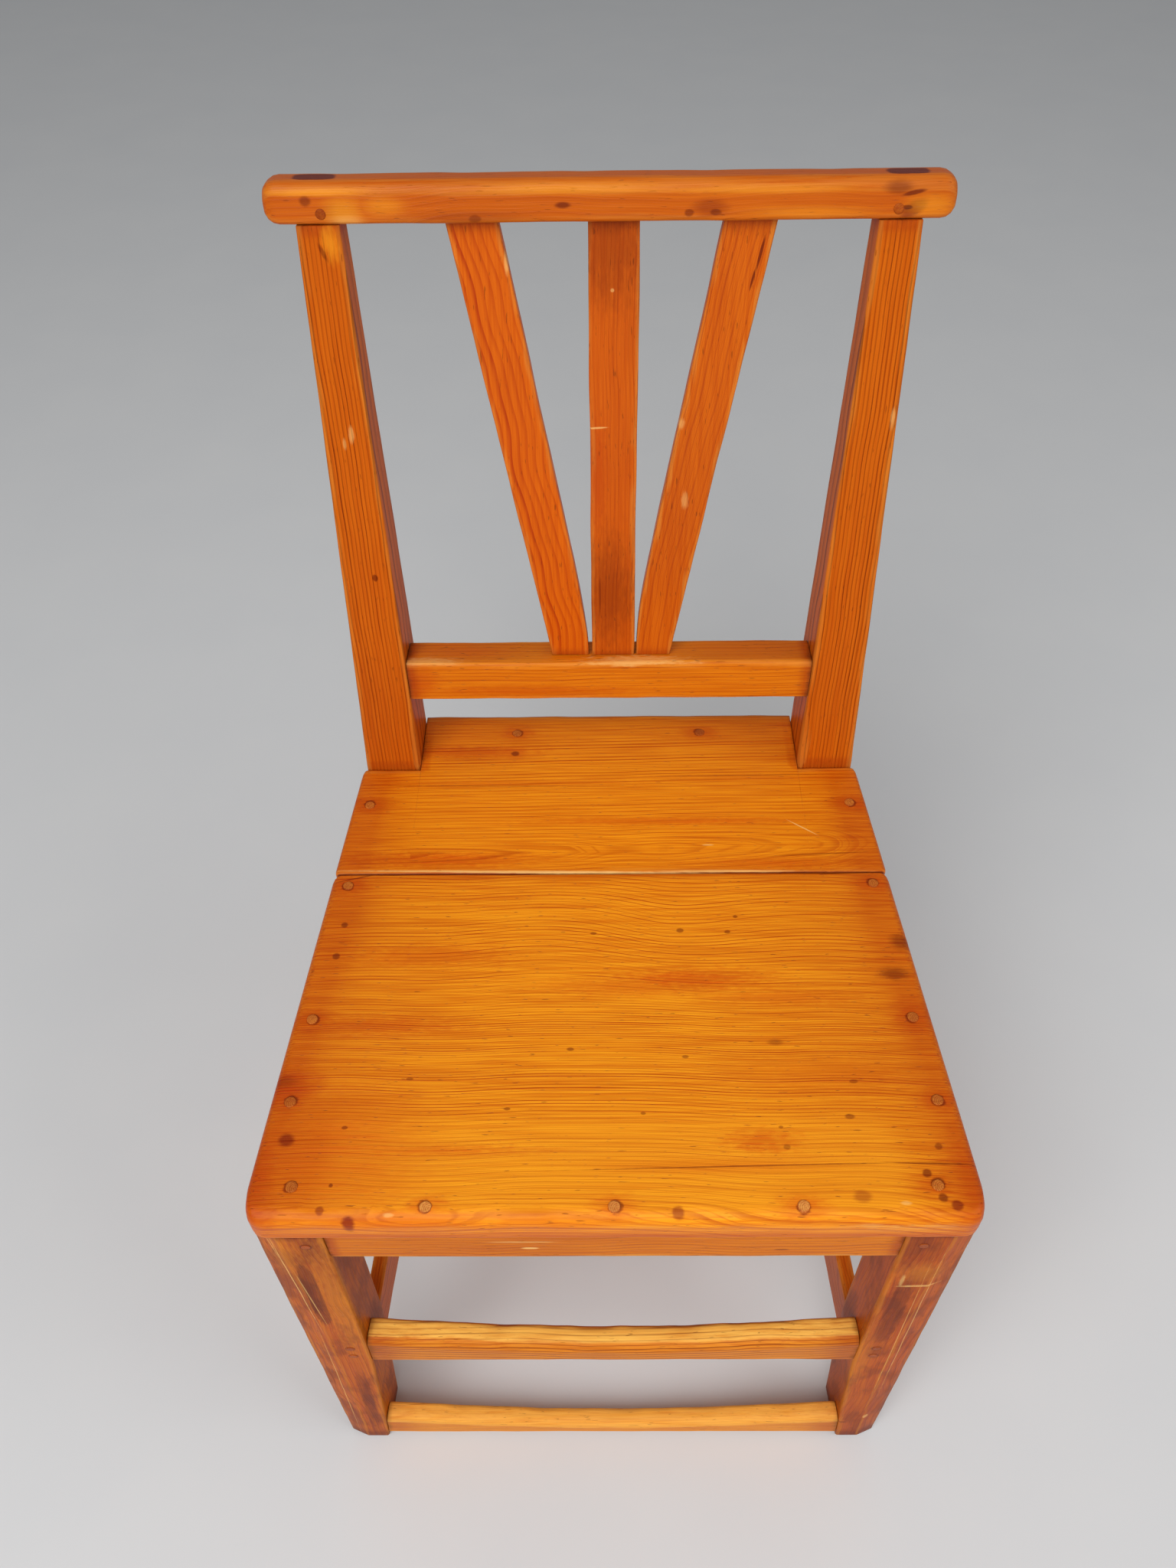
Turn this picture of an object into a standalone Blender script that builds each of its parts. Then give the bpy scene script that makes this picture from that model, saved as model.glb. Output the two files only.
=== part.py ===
"""Farmhouse chair in pegged mortise and tenon joinery, in metres, with the floor at z = 0 and the front facing -Y."""
import math

import bmesh
import bpy

for old in list(bpy.data.objects):
    bpy.data.objects.remove(old, do_unlink=True)

# Clearance left between every two pieces that meet.
FIT = 0.0003

# Seat.
SEAT_HEIGHT = 0.430
SEAT_THICK = 0.026
SEAT_FRONT_WIDE = 0.431
SEAT_LIP = 0.003
SEAT_SIDE_LIP = 0.0024
SEAT_REAR_LIP = 0.003
SEAT_CORNER = 0.014
SEAT_ROUND = 0.006
SEAT_EASE = 0.003
FRONT_BOARD_DEEP = 0.2505
SEAT_BEHIND = 0.0562

# Front legs, with depths measured back from their front faces.
LEG_WIDE = 0.0417
LEG_FOOT_WIDE = 0.0305
LEG_DEEP = 0.038
FACET_END = 0.0130
FACET_MIDDLE = 0.0175
FACET_DEEP = 0.0050
ARRIS = 0.0012

# Rear posts: one piece from the floor to the crest, bent at the seat.
POST_SET = 0.350
POST_OUT = 0.1827
POST_WIDE = 0.0407
POST_DEEP = 0.050
POST_TOP_WIDE = 0.0245
POST_TOP_DEEP = 0.0235
HEEL_WIDE = 0.034
HEEL_DEEP = 0.034
HEEL_BACK = 0.034
BLOCK_DROP = 0.010
BEND_LOW = 0.016
BEND_HIGH = 0.004
RAKE = math.radians(8.0)

# Back, with lengths measured up the rake from the top of the seat.
CREST_UP = 0.3892
CREST_LONG = 0.3856
CREST_PAST = 0.0174
CREST_HIGH = 0.0225
CREST_ROUND = 0.0058
CREST_END = 0.010
CREST_ARRIS = 0.002
RAIL_UP = 0.0624
RAIL_HIGH = 0.0312
RAIL_THICK = 0.0285
SPLAT_WIDE = 0.0298
SPLAT_THICK = 0.009
FAN_FOOT = 0.0403
FAN_TOP = 0.0930
FAN_GAP = 0.0012
FAN_BEND = 0.004
FAN_SHIFT = 0.003
SPLAT_TENON = 0.010
SPLAT_CHEEK = 0.0015

# Seat rails and stretchers.
APRON_HIGH = 0.034
APRON_THICK = 0.020
FRONT_SET = 0.0006
SIDE_SET = 0.004
UPPER_LOW = 0.183
UPPER_HIGH = 0.0375
UPPER_THICK = 0.018
UPPER_WEAR = 0.015
UPPER_CROWN = 0.006
LOWER_LOW = 0.009
LOWER_HIGH = 0.035
LOWER_THICK = 0.014
LOWER_WEAR = 0.017
LOWER_CROWN = 0.005
SIDE_STRETCH_LOW = 0.130
SIDE_STRETCH_HIGH = 0.045
SIDE_STRETCH_THICK = 0.011
SIDE_STRETCH_IN = 0.0046
SIDE_STRETCH_TURN = 0.075
REAR_STRETCH_LOW = 0.200
REAR_STRETCH_HIGH = 0.035
REAR_STRETCH_THICK = 0.014

# Joints.
TENON_LONG = 0.020
TENON_SHOULDER = 0.006
TENON_ROOT = 0.004
POST_TENON_EASE = 0.001
PEG_RADIUS = 0.0036
PEG_SIDES = 16
PEG_PROUD = 0.0003
PEG_DEEP = 0.018
FRONT_PEG_SET = 0.0056
FRONT_PEG_APART = 0.108
REAR_PEG_APART = 0.0705
SIDE_PEG_FRONT = 0.072
SIDE_PEG_MIDDLE = 0.130
SIDE_PEG_FROM_SEAM = 0.010
SIDE_PEG_FROM_POST = 0.038
SMALL_PEG_RADIUS = 0.0030
CREST_PEG_UP = 0.0060
CREST_PEG_IN = 0.0095

# Heights and half widths that follow from the sizes above.
SEAT_UNDER = SEAT_HEIGHT - SEAT_THICK
APRON_TOP = SEAT_UNDER - FIT
APRON_LOW = APRON_TOP - APRON_HIGH
BLOCK_LOW = APRON_LOW - BLOCK_DROP
SEAT_HALF = SEAT_FRONT_WIDE / 2
LEG_OUT = SEAT_HALF - SEAT_SIDE_LIP
POST_IN = POST_OUT - POST_WIDE
POST_TOP_OUT = CREST_LONG / 2 - CREST_PAST
POST_TOP_IN = POST_TOP_OUT - POST_TOP_WIDE
TURN = (SEAT_HALF - POST_OUT - SEAT_REAR_LIP) / (POST_SET + SEAT_LIP)
STRETCH_OUT = LEG_OUT - LEG_WIDE + SIDE_STRETCH_IN + SIDE_STRETCH_THICK
CREST_TOP = CREST_UP + CREST_HIGH
RAIL_TOP = RAIL_UP + RAIL_HIGH
SPLAT_SET = (RAIL_THICK - SPLAT_THICK) / 2

# The chair is centred on its own depth, from the lip of the seat to the back of the crest.
BACK_REACH = (
    POST_SET
    + (CREST_TOP - CREST_ROUND) * math.sin(RAKE)
    + (POST_TOP_DEEP - CREST_ROUND) * math.cos(RAKE)
    + CREST_ROUND
)
FRONT = -(BACK_REACH - SEAT_LIP) / 2


def floor_frame(x, d, z):
    """Point x across, d behind the fronts of the front legs, z above the floor."""
    return (x, FRONT + d, z)


def back_frame(x, u, v):
    """Point x across, u up the rake from the seat top, v behind the fronts of the posts."""
    d = POST_SET + u * math.sin(RAKE) + v * math.cos(RAKE)
    return (x, FRONT + d, SEAT_HEIGHT + u * math.cos(RAKE) - v * math.sin(RAKE))


def finish(name, mesh):
    """Turn a bmesh into a mesh object with its faces outward."""
    bmesh.ops.recalc_face_normals(mesh, faces=mesh.faces)
    data = bpy.data.meshes.new(name)
    mesh.to_mesh(data)
    mesh.free()
    made = bpy.data.objects.new(name, data)
    bpy.context.scene.collection.objects.link(made)
    return made


def add_loft(mesh, rings):
    """Skin rings of equal length and cap the first and the last."""
    rows = [[mesh.verts.new(point) for point in ring] for ring in rings]
    count = len(rows[0])
    for low, high in zip(rows, rows[1:]):
        for i in range(count):
            j = (i + 1) % count
            mesh.faces.new((low[i], low[j], high[j], high[i]))
    mesh.faces.new(rows[0])
    mesh.faces.new(rows[-1])


def loft(name, rings):
    mesh = bmesh.new()
    add_loft(mesh, rings)
    return finish(name, mesh)


def box_rings(frame, low, high):
    """Two rings of a box between two corners given in a frame."""
    (a0, b0, c0), (a1, b1, c1) = low, high
    return [[frame(a, b, c0) for a, b in ((a0, b0), (a1, b0), (a1, b1), (a0, b1))],
            [frame(a, b, c1) for a, b in ((a0, b0), (a1, b0), (a1, b1), (a0, b1))]]


def rod_rings(frame, axis, centre, radius, low, high):
    """Two rings of a round peg along one axis of a frame, centred on the other two."""
    rings = []
    for end in (low, high):
        ring = []
        for i in range(PEG_SIDES):
            turn = 2 * math.pi * i / PEG_SIDES
            place = [centre[0] + radius * math.cos(turn), centre[1] + radius * math.sin(turn)]
            place.insert(axis, end)
            ring.append(frame(*place))
        rings.append(ring)
    return rings


def combine(piece, shapes, how):
    """Join shapes to a piece, or cut them from it, in one exact operation."""
    if not shapes:
        return
    mesh = bmesh.new()
    for rings in shapes:
        add_loft(mesh, rings)
    tool = finish(piece.name + "_tool", mesh)
    step = piece.modifiers.new("joint", "BOOLEAN")
    step.operation = how
    step.solver = "EXACT"
    step.object = tool
    graph = bpy.context.evaluated_depsgraph_get()
    result = bpy.data.meshes.new_from_object(piece.evaluated_get(graph))
    piece.modifiers.clear()
    piece.data = result
    bpy.data.objects.remove(tool, do_unlink=True)


def grown(low, high, by=FIT):
    """A box made larger on all sides by the clearance."""
    return tuple(n - by for n in low), tuple(n + by for n in high)


# Every piece by name, with the mortises and peg holes that wait to be cut in it.
pieces = {}
mortises = {}
peg_holes = {}


def keep(piece):
    pieces[piece.name] = piece
    mortises[piece.name] = []
    peg_holes[piece.name] = []
    return piece


def joint(frame, tenon_of, mortise_of, low, high):
    """Add a tenon to one piece and cut the same box, with clearance, from the other."""
    low, high = tuple(map(min, zip(low, high))), tuple(map(max, zip(low, high)))
    combine(pieces[tenon_of], [box_rings(frame, low, high)], "UNION")
    mortises[mortise_of].append(box_rings(frame, *grown(low, high)))


def peg(name, frame, axis, centre, radius, low, high, through):
    """A round wooden peg and its holes in the pieces that it runs through."""
    keep(loft(name, rod_rings(frame, axis, centre, radius, low, high)))
    start, end = min(low, high), max(low, high)
    for other in through:
        peg_holes[other].append(
            rod_rings(frame, axis, centre, radius + FIT, start - FIT, end + FIT)
        )


def side_name(side):
    return "left" if side < 0 else "right"


def straight(low, high, share):
    return low + (high - low) * share


def seat_half(d):
    """Half width of the seat: straight sides, a little wider than the posts at the rear."""
    share = max(0.0, (POST_SET - d) / (POST_SET + SEAT_LIP))
    return straight(POST_OUT + SEAT_REAR_LIP, SEAT_HALF, share)


def seat_edge(inset, start, end, corner):
    """Right edge of the seat from one depth to another, drawn in by an inset, with a round front corner."""
    points = [(seat_half(straight(start, end, i / 8)) - inset, straight(start, end, i / 8)) for i in range(9)]
    if not corner:
        return points
    radius = SEAT_CORNER - inset
    front = -SEAT_LIP + inset
    points = [(x, d) for x, d in points if d > front + radius]
    side = seat_half(front + radius) - inset
    for i in range(6):
        turn = math.pi / 2 * i / 5
        points.append((side - radius + radius * math.cos(turn), front + radius - radius * math.sin(turn)))
    return points


def seat_levels():
    """Heights and insets of the rounded edge of the seat, from the underside to the top."""
    levels = [(SEAT_UNDER, SEAT_EASE), (SEAT_UNDER + SEAT_EASE, 0.0)]
    for i in range(5):
        turn = math.pi / 2 * i / 4
        levels.append((SEAT_HEIGHT - SEAT_ROUND * (1 - math.sin(turn)), SEAT_ROUND * (1 - math.cos(turn))))
    return levels


def front_board():
    seam = FRONT_BOARD_DEEP - SEAT_LIP - FIT / 2
    rings = []
    for z, inset in seat_levels():
        right = seat_edge(inset, seam, -SEAT_LIP, True)
        outline = right + [(-x, d) for x, d in reversed(right)]
        rings.append([floor_frame(x, d, z) for x, d in outline])
    keep(loft("seat_front_board", rings))


def rear_board():
    """Rear board of the seat, notched round both posts."""
    seam = FRONT_BOARD_DEEP - SEAT_LIP + FIT / 2
    rear = POST_SET + SEAT_BEHIND
    rings = []
    for z, inset in seat_levels():
        right = seat_edge(inset, POST_SET - FIT, seam, False)
        notch = [(POST_IN - FIT, rear - inset), (POST_IN - FIT, POST_SET - FIT)]
        right = notch + right
        outline = right + [(-x, d) for x, d in reversed(right)]
        rings.append([floor_frame(x, d, z) for x, d in outline])
    keep(loft("seat_rear_board", rings))


def leg_width(z):
    return straight(LEG_FOOT_WIDE, LEG_WIDE, min(1.0, z / UPPER_LOW))


def leg_in(z, d):
    """Inner face of a front leg: tapered below the upper stretcher and turned with the side of the seat."""
    return LEG_OUT - leg_width(z) - TURN * d


def front_leg(side):
    """Tapered leg with a shallow facet down its outer front edge, widest at the middle."""
    rings = []
    levels = [UPPER_LOW * i / 6 for i in range(6)] + [straight(UPPER_LOW, APRON_TOP, i / 6) for i in range(7)]
    for z in levels:
        share = z / APRON_TOP
        cut = straight(FACET_END, FACET_MIDDLE, 4 * share * (1 - share))
        outer_back = LEG_OUT - TURN * LEG_DEEP
        ring = [
            (leg_in(z, 0) + ARRIS, 0.0), (LEG_OUT - cut, 0.0), (LEG_OUT - TURN * FACET_DEEP, FACET_DEEP),
            (outer_back, LEG_DEEP - ARRIS), (outer_back - ARRIS, LEG_DEEP),
            (leg_in(z, LEG_DEEP) + ARRIS, LEG_DEEP), (leg_in(z, LEG_DEEP), LEG_DEEP - ARRIS),
            (leg_in(z, 0), ARRIS),
        ]
        rings.append([floor_frame(side * x, d, z) for x, d in ring])
    keep(loft(side_name(side) + "_front_leg", rings))


def heel_share(z):
    return min(1.0, z / BLOCK_LOW)


def heel_front(z):
    """Front of a rear leg below the seat: it runs back towards the foot."""
    return POST_SET + HEEL_BACK * (1 - heel_share(z))


def heel_back(z):
    return heel_front(z) + straight(HEEL_DEEP, POST_DEEP, heel_share(z))


def heel_in(z):
    return POST_OUT - straight(HEEL_WIDE, POST_WIDE, heel_share(z))


def post_in(u):
    return straight(POST_IN, POST_TOP_IN, u / CREST_UP)


def post_out(u):
    return straight(POST_OUT, POST_TOP_OUT, u / CREST_UP)


def post_depth(u):
    return straight(POST_DEEP, POST_TOP_DEEP, u / CREST_UP)


def eased(low_x, high_x, low_y, high_y):
    """Section of a bar with its four arrises eased."""
    return [
        (low_x + ARRIS, low_y), (high_x - ARRIS, low_y), (high_x, low_y + ARRIS), (high_x, high_y - ARRIS),
        (high_x - ARRIS, high_y), (low_x + ARRIS, high_y), (low_x, high_y - ARRIS), (low_x, low_y + ARRIS),
    ]


def rear_post(side):
    """Post sawn with a bend at the seat, deepest there, tapering to the floor and to the crest."""
    rings = []
    for z in (0.0, BLOCK_LOW * 0.5, BLOCK_LOW, SEAT_HEIGHT - BEND_LOW):
        ring = eased(heel_in(z), POST_OUT, heel_front(z), heel_back(z))
        rings.append([floor_frame(side * x, d, z) for x, d in ring])
    for u in (BEND_HIGH, CREST_UP * 0.25, CREST_UP * 0.5, CREST_UP * 0.75, CREST_UP - FIT):
        ring = eased(post_in(u), post_out(u), 0.0, post_depth(u))
        rings.append([back_frame(side * x, u, v) for x, v in ring])
    keep(loft(side_name(side) + "_rear_post", rings))


def crest_section(inset):
    """Section of the crest rail in (u, v): flat below, rounded above, drawn in near the ends."""
    points = [(CREST_UP + inset, CREST_ARRIS), (CREST_UP + CREST_ARRIS + inset, 0.0)]
    for i in range(5):
        turn = math.pi / 2 * i / 4
        u = CREST_TOP - CREST_ROUND + CREST_ROUND * math.sin(turn) - inset
        points.append((u, CREST_ROUND - CREST_ROUND * math.cos(turn)))
    mirrored = [(u, POST_TOP_DEEP - v) for u, v in reversed(points)]
    return points + mirrored


def crest_rail():
    """Round-ended bar laid over both posts."""
    half = CREST_LONG / 2
    rings = []
    for i in range(5):
        turn = math.pi / 2 * i / 4
        x = half - CREST_END * (1 - math.sin(turn))
        inset = CREST_END * 0.8 * (1 - math.cos(turn))
        rings.append((x, inset))
    ends = [(-x, inset) for x, inset in reversed(rings)] + rings
    keep(loft("crest_rail", [[back_frame(x, u, v) for u, v in crest_section(inset)] for x, inset in ends]))


def lower_back_rail():
    rings = []
    for side in (-1, 1):
        ring = []
        for u, v in eased(RAIL_UP, RAIL_TOP, 0.0, RAIL_THICK):
            ring.append(back_frame(side * (post_in(u) - FIT), u, v))
        rings.append(ring)
    keep(loft("lower_back_rail", rings))


def splat_edges(side):
    """Outline of a splat in (x, u): straight in the middle, fanned and bent in at the foot outside.
    The middle and right ones stand a little to the right."""
    low, high = RAIL_TOP + FIT, CREST_UP - FIT
    half = SPLAT_WIDE / 2
    if side == 0:
        near, far = FAN_SHIFT - half, FAN_SHIFT + half
        return [(near, low), (far, low), (far, high), (near, high)]
    lean = (FAN_TOP - FAN_FOOT) / (high - low)
    across = SPLAT_WIDE * math.sqrt(1 + lean * lean)
    beside = half + FAN_GAP + side * FAN_SHIFT
    outer = max(side, 0) * FAN_SHIFT
    points = [(FAN_FOOT + outer, low), (FAN_TOP + outer, high)]
    for i in range(15):
        u = straight(high, low, (i / 14) ** 0.6)
        line = FAN_FOOT + outer - across + lean * (u - low)
        gap = line - beside
        points.append(((line + beside + math.sqrt(gap * gap + FAN_BEND * FAN_BEND)) / 2, u))
    return [(side * x, u) for x, u in points]


def splat_middles(side):
    """Middle of a splat across, at its foot and at its head."""
    if side == 0:
        return FAN_SHIFT, FAN_SHIFT
    outer = max(side, 0) * FAN_SHIFT
    foot = (FAN_FOOT + outer + SPLAT_WIDE / 2 + FAN_GAP + side * FAN_SHIFT) / 2
    head = FAN_TOP + outer - SPLAT_WIDE / 2
    return side * foot, side * head


def splat(side):
    name = {-1: "left_splat", 0: "centre_splat", 1: "right_splat"}[side]
    outline = splat_edges(side)
    rings = [[back_frame(x, u, v) for x, u in outline] for v in (SPLAT_SET, SPLAT_SET + SPLAT_THICK)]
    keep(loft(name, rings))


def cross_bar(name, end, low, high, near, far, wear=0.0, crown=0.0):
    """Bar from side to side whose ends follow the faces of two uprights, with a worn hollow along its top."""
    rings = []
    steps = 16 if wear else 1
    for i in range(steps + 1):
        s = 2 * i / steps - 1
        top = high - wear * (1 - s * s) ** 1.2
        if crown:
            ring = [(near, low), (far, low), (far, top - crown * 0.5), (far - crown * 0.5, top)]
            ring += [(near + crown, top), (near + crown * 0.3, top - crown * 0.35), (near, top - crown)]
        else:
            ring = [(d, z) for d, z in eased(near, far, low, top)]
        rings.append([floor_frame(s * (end(z, d) - FIT), d, z) for d, z in ring])
    keep(loft(name, rings))


def side_bar(name, side, outer, turn, thick, low, high, near, far):
    """Bar from front to back along the side of the chair, turned in towards the rear."""
    rings = []
    for end in (near, far):
        ring = []
        for x, z in eased(-thick, 0.0, low, high):
            d = end(z)
            ring.append(floor_frame(side * (outer - turn * d + x), d, z))
        rings.append(ring)
    keep(loft(name, rings))


def build_back():
    for side in (-1, 1):
        rear_post(side)
    crest_rail()
    lower_back_rail()
    for side in (-1, 0, 1):
        splat(side)
    tenon_near = CREST_ROUND + POST_TENON_EASE
    for side in (-1, 1):
        post = side_name(side) + "_rear_post"
        joint(
            back_frame, post, "crest_rail",
            (side * (POST_TOP_IN + POST_TENON_EASE), CREST_UP - TENON_ROOT, tenon_near),
            (side * (POST_TOP_OUT - POST_TENON_EASE), CREST_TOP, POST_TOP_DEEP - tenon_near),
        )
        middle = post_in(RAIL_UP + RAIL_HIGH / 2)
        joint(
            back_frame, "lower_back_rail", post,
            (side * (middle - TENON_ROOT), RAIL_UP + TENON_SHOULDER, RAIL_THICK * 0.32),
            (side * (middle + TENON_LONG), RAIL_TOP - TENON_SHOULDER, RAIL_THICK * 0.68),
        )
    for side, name in ((-1, "left_splat"), (0, "centre_splat"), (1, "right_splat")):
        foot, head = splat_middles(side)
        reach = SPLAT_WIDE * 0.28
        near, far = SPLAT_SET + SPLAT_CHEEK, SPLAT_SET + SPLAT_THICK - SPLAT_CHEEK
        joint(
            back_frame, name, "lower_back_rail",
            (foot - reach, RAIL_TOP - SPLAT_TENON, near), (foot + reach, RAIL_TOP + TENON_ROOT, far),
        )
        joint(
            back_frame, name, "crest_rail",
            (head - reach, CREST_UP - TENON_ROOT, near), (head + reach, CREST_UP + SPLAT_TENON, far),
        )


def build_base():
    for side in (-1, 1):
        front_leg(side)
    far = FRONT_SET + APRON_THICK
    cross_bar("front_seat_rail", leg_in, APRON_LOW, APRON_TOP, FRONT_SET, far)
    cross_bar(
        "upper_front_stretcher", leg_in, UPPER_LOW, UPPER_LOW + UPPER_HIGH,
        FRONT_SET, FRONT_SET + UPPER_THICK, UPPER_WEAR, UPPER_CROWN,
    )
    cross_bar(
        "lower_front_stretcher", leg_in, LOWER_LOW, LOWER_LOW + LOWER_HIGH,
        FRONT_SET, FRONT_SET + LOWER_THICK, LOWER_WEAR, LOWER_CROWN,
    )
    rear_near = POST_SET + POST_DEEP * 0.5
    rear_far = rear_near + APRON_THICK
    cross_bar("rear_seat_rail", lambda z, d: heel_in(z), APRON_LOW, APRON_TOP, rear_near, rear_far)
    rear_middle = REAR_STRETCH_LOW + REAR_STRETCH_HIGH / 2
    stretch_near = (heel_front(rear_middle) + heel_back(rear_middle) - REAR_STRETCH_THICK) / 2
    cross_bar(
        "rear_stretcher", lambda z, d: heel_in(z), REAR_STRETCH_LOW, REAR_STRETCH_LOW + REAR_STRETCH_HIGH,
        stretch_near, stretch_near + REAR_STRETCH_THICK,
    )
    for side in (-1, 1):
        where = side_name(side)
        side_bar(
            where + "_seat_rail", side, LEG_OUT - SIDE_SET, TURN, APRON_THICK, APRON_LOW, APRON_TOP,
            lambda z: LEG_DEEP + FIT, lambda z: POST_SET - FIT,
        )
        side_bar(
            where + "_side_stretcher", side, STRETCH_OUT, SIDE_STRETCH_TURN, SIDE_STRETCH_THICK,
            SIDE_STRETCH_LOW, SIDE_STRETCH_LOW + SIDE_STRETCH_HIGH,
            lambda z: LEG_DEEP + FIT, lambda z: heel_front(z) - FIT,
        )


def cross_tenon(bar, upright, side, end, low, high, near, far):
    """Tenon on one end of a bar that runs from side to side."""
    joint(
        floor_frame, bar, upright,
        (side * (end - TENON_ROOT), near, low + TENON_SHOULDER),
        (side * (end + TENON_LONG), far, high - TENON_SHOULDER),
    )


def side_tenon(bar, upright, side, outer, turn, thick, low, high, shoulder, way):
    """Tenon on one end of a bar that runs from front to back."""
    middle = side * (outer - turn * shoulder - thick / 2)
    reach = thick * 0.3
    joint(
        floor_frame, bar, upright,
        (middle - reach, shoulder - way * TENON_ROOT, low + TENON_SHOULDER),
        (middle + reach, shoulder + way * TENON_LONG * 0.9, high - TENON_SHOULDER),
    )


def join_base():
    stretch_top = SIDE_STRETCH_LOW + SIDE_STRETCH_HIGH
    for side in (-1, 1):
        where = side_name(side)
        leg, post = where + "_front_leg", where + "_rear_post"
        near, far = FRONT_SET + APRON_THICK * 0.25, FRONT_SET + APRON_THICK * 0.65
        end = leg_in(APRON_LOW, far)
        cross_tenon("front_seat_rail", leg, side, end, APRON_LOW, APRON_TOP, near, far)
        near, far = FRONT_SET + UPPER_THICK * 0.25, FRONT_SET + UPPER_THICK * 0.65
        end = leg_in(UPPER_LOW, far)
        cross_tenon("upper_front_stretcher", leg, side, end, UPPER_LOW, UPPER_LOW + UPPER_HIGH, near, far)
        near, far = FRONT_SET + LOWER_THICK * 0.25, FRONT_SET + LOWER_THICK * 0.65
        end = leg_in(LOWER_LOW, far)
        cross_tenon("lower_front_stretcher", leg, side, end, LOWER_LOW, LOWER_LOW + LOWER_HIGH, near, far)
        near = POST_SET + POST_DEEP * 0.5 + APRON_THICK * 0.3
        far = near + APRON_THICK * 0.4
        cross_tenon("rear_seat_rail", post, side, POST_IN, APRON_LOW, APRON_TOP, near, far)
        high = REAR_STRETCH_LOW + REAR_STRETCH_HIGH
        middle = REAR_STRETCH_LOW + REAR_STRETCH_HIGH / 2
        near = (heel_front(middle) + heel_back(middle)) / 2 - REAR_STRETCH_THICK * 0.25
        end = heel_in(middle)
        cross_tenon(
            "rear_stretcher", post, side, end, REAR_STRETCH_LOW, high, near, near + REAR_STRETCH_THICK * 0.5,
        )
        rail, outer = where + "_seat_rail", LEG_OUT - SIDE_SET
        side_tenon(rail, leg, side, outer, TURN, APRON_THICK, APRON_LOW, APRON_TOP, LEG_DEEP, -1)
        side_tenon(rail, post, side, outer, TURN, APRON_THICK, APRON_LOW, APRON_TOP, POST_SET, 1)
        bar = where + "_side_stretcher"
        side_tenon(
            bar, leg, side, STRETCH_OUT, SIDE_STRETCH_TURN, SIDE_STRETCH_THICK, SIDE_STRETCH_LOW, stretch_top,
            LEG_DEEP, -1,
        )
        shoulder = heel_front((SIDE_STRETCH_LOW + stretch_top) / 2)
        side_tenon(
            bar, post, side, STRETCH_OUT, SIDE_STRETCH_TURN, SIDE_STRETCH_THICK, SIDE_STRETCH_LOW, stretch_top,
            shoulder, 1,
        )


def seat_pegs():
    """Pegs down through the seat into the rails and the front legs."""
    top, low = SEAT_HEIGHT + PEG_PROUD, SEAT_UNDER - PEG_DEEP
    seam = FRONT_BOARD_DEEP - SEAT_LIP
    for side in (-1, 1):
        where = side_name(side)
        rail = where + "_seat_rail"
        rows = (
            ("leg", LEG_DEEP * 0.47), ("front", SIDE_PEG_FRONT), ("middle", SIDE_PEG_MIDDLE),
            ("seam", seam - SIDE_PEG_FROM_SEAM), ("rear", POST_SET - SIDE_PEG_FROM_POST),
        )
        for label, d in rows:
            board = "seat_front_board" if d < seam else "seat_rear_board"
            x = LEG_OUT - TURN * d - SIDE_SET - APRON_THICK * 0.34
            if label == "leg":
                x = LEG_OUT - LEG_WIDE * 0.63
            end, through = low, [board, rail]
            if label == "leg":
                end = SEAT_UNDER - APRON_HIGH * 0.25
                through = [board, where + "_front_leg", "front_seat_rail", rail]
            peg(where + "_seat_peg_" + label, floor_frame, 2, (side * x, d), PEG_RADIUS, end, top, through)
    for label, x in (("left", -FRONT_PEG_APART), ("centre", 0.0), ("right", FRONT_PEG_APART)):
        through = ["seat_front_board", "front_seat_rail"]
        peg("front_seat_peg_" + label, floor_frame, 2, (x, FRONT_PEG_SET), PEG_RADIUS, low, top, through)
    middle = POST_SET + POST_DEEP * 0.5 + APRON_THICK * 0.5
    for label, x in (("left", -REAR_PEG_APART), ("right", REAR_PEG_APART)):
        through = ["seat_rear_board", "rear_seat_rail"]
        peg("rear_seat_peg_" + label, floor_frame, 2, (x, middle), PEG_RADIUS, low, top, through)


def joint_pegs():
    """Pegs that lock the tenons of the front legs and of the crest."""
    for side in (-1, 1):
        where = side_name(side)
        leg = where + "_front_leg"
        deep = FRONT_SET + APRON_THICK * 0.9
        x = leg_in(APRON_LOW, 0) + TENON_LONG * 0.6
        rows = (
            ("apron", "front_seat_rail", APRON_LOW + APRON_HIGH * 0.5),
            ("stretcher_low", "upper_front_stretcher", UPPER_LOW + UPPER_HIGH * 0.30),
            ("stretcher_high", "upper_front_stretcher", UPPER_LOW + UPPER_HIGH * 0.70),
        )
        for label, bar, z in rows:
            peg(
                where + "_leg_peg_" + label, floor_frame, 1, (side * x, z), SMALL_PEG_RADIUS,
                -PEG_PROUD, deep, [leg, bar],
            )
        x = POST_TOP_IN + CREST_PEG_IN
        peg(
            where + "_crest_peg", back_frame, 2, (side * x, CREST_UP + CREST_PEG_UP), SMALL_PEG_RADIUS,
            -PEG_PROUD, POST_TOP_DEEP * 0.8, ["crest_rail", where + "_rear_post"],
        )


def cut_joints():
    for name, piece in pieces.items():
        combine(piece, mortises[name], "DIFFERENCE")
        for hole in peg_holes[name]:
            combine(piece, [hole], "DIFFERENCE")


def paint(piece, colour, rough):
    made = bpy.data.materials.new(piece.name + "_wood")
    made.use_nodes = True
    shader = next(node for node in made.node_tree.nodes if node.type == "BSDF_PRINCIPLED")
    shader.inputs["Base Color"].default_value = (*colour, 1.0)
    shader.inputs["Roughness"].default_value = rough
    shader.inputs["Metallic"].default_value = 0.0
    piece.data.materials.clear()
    piece.data.materials.append(made)


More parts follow.
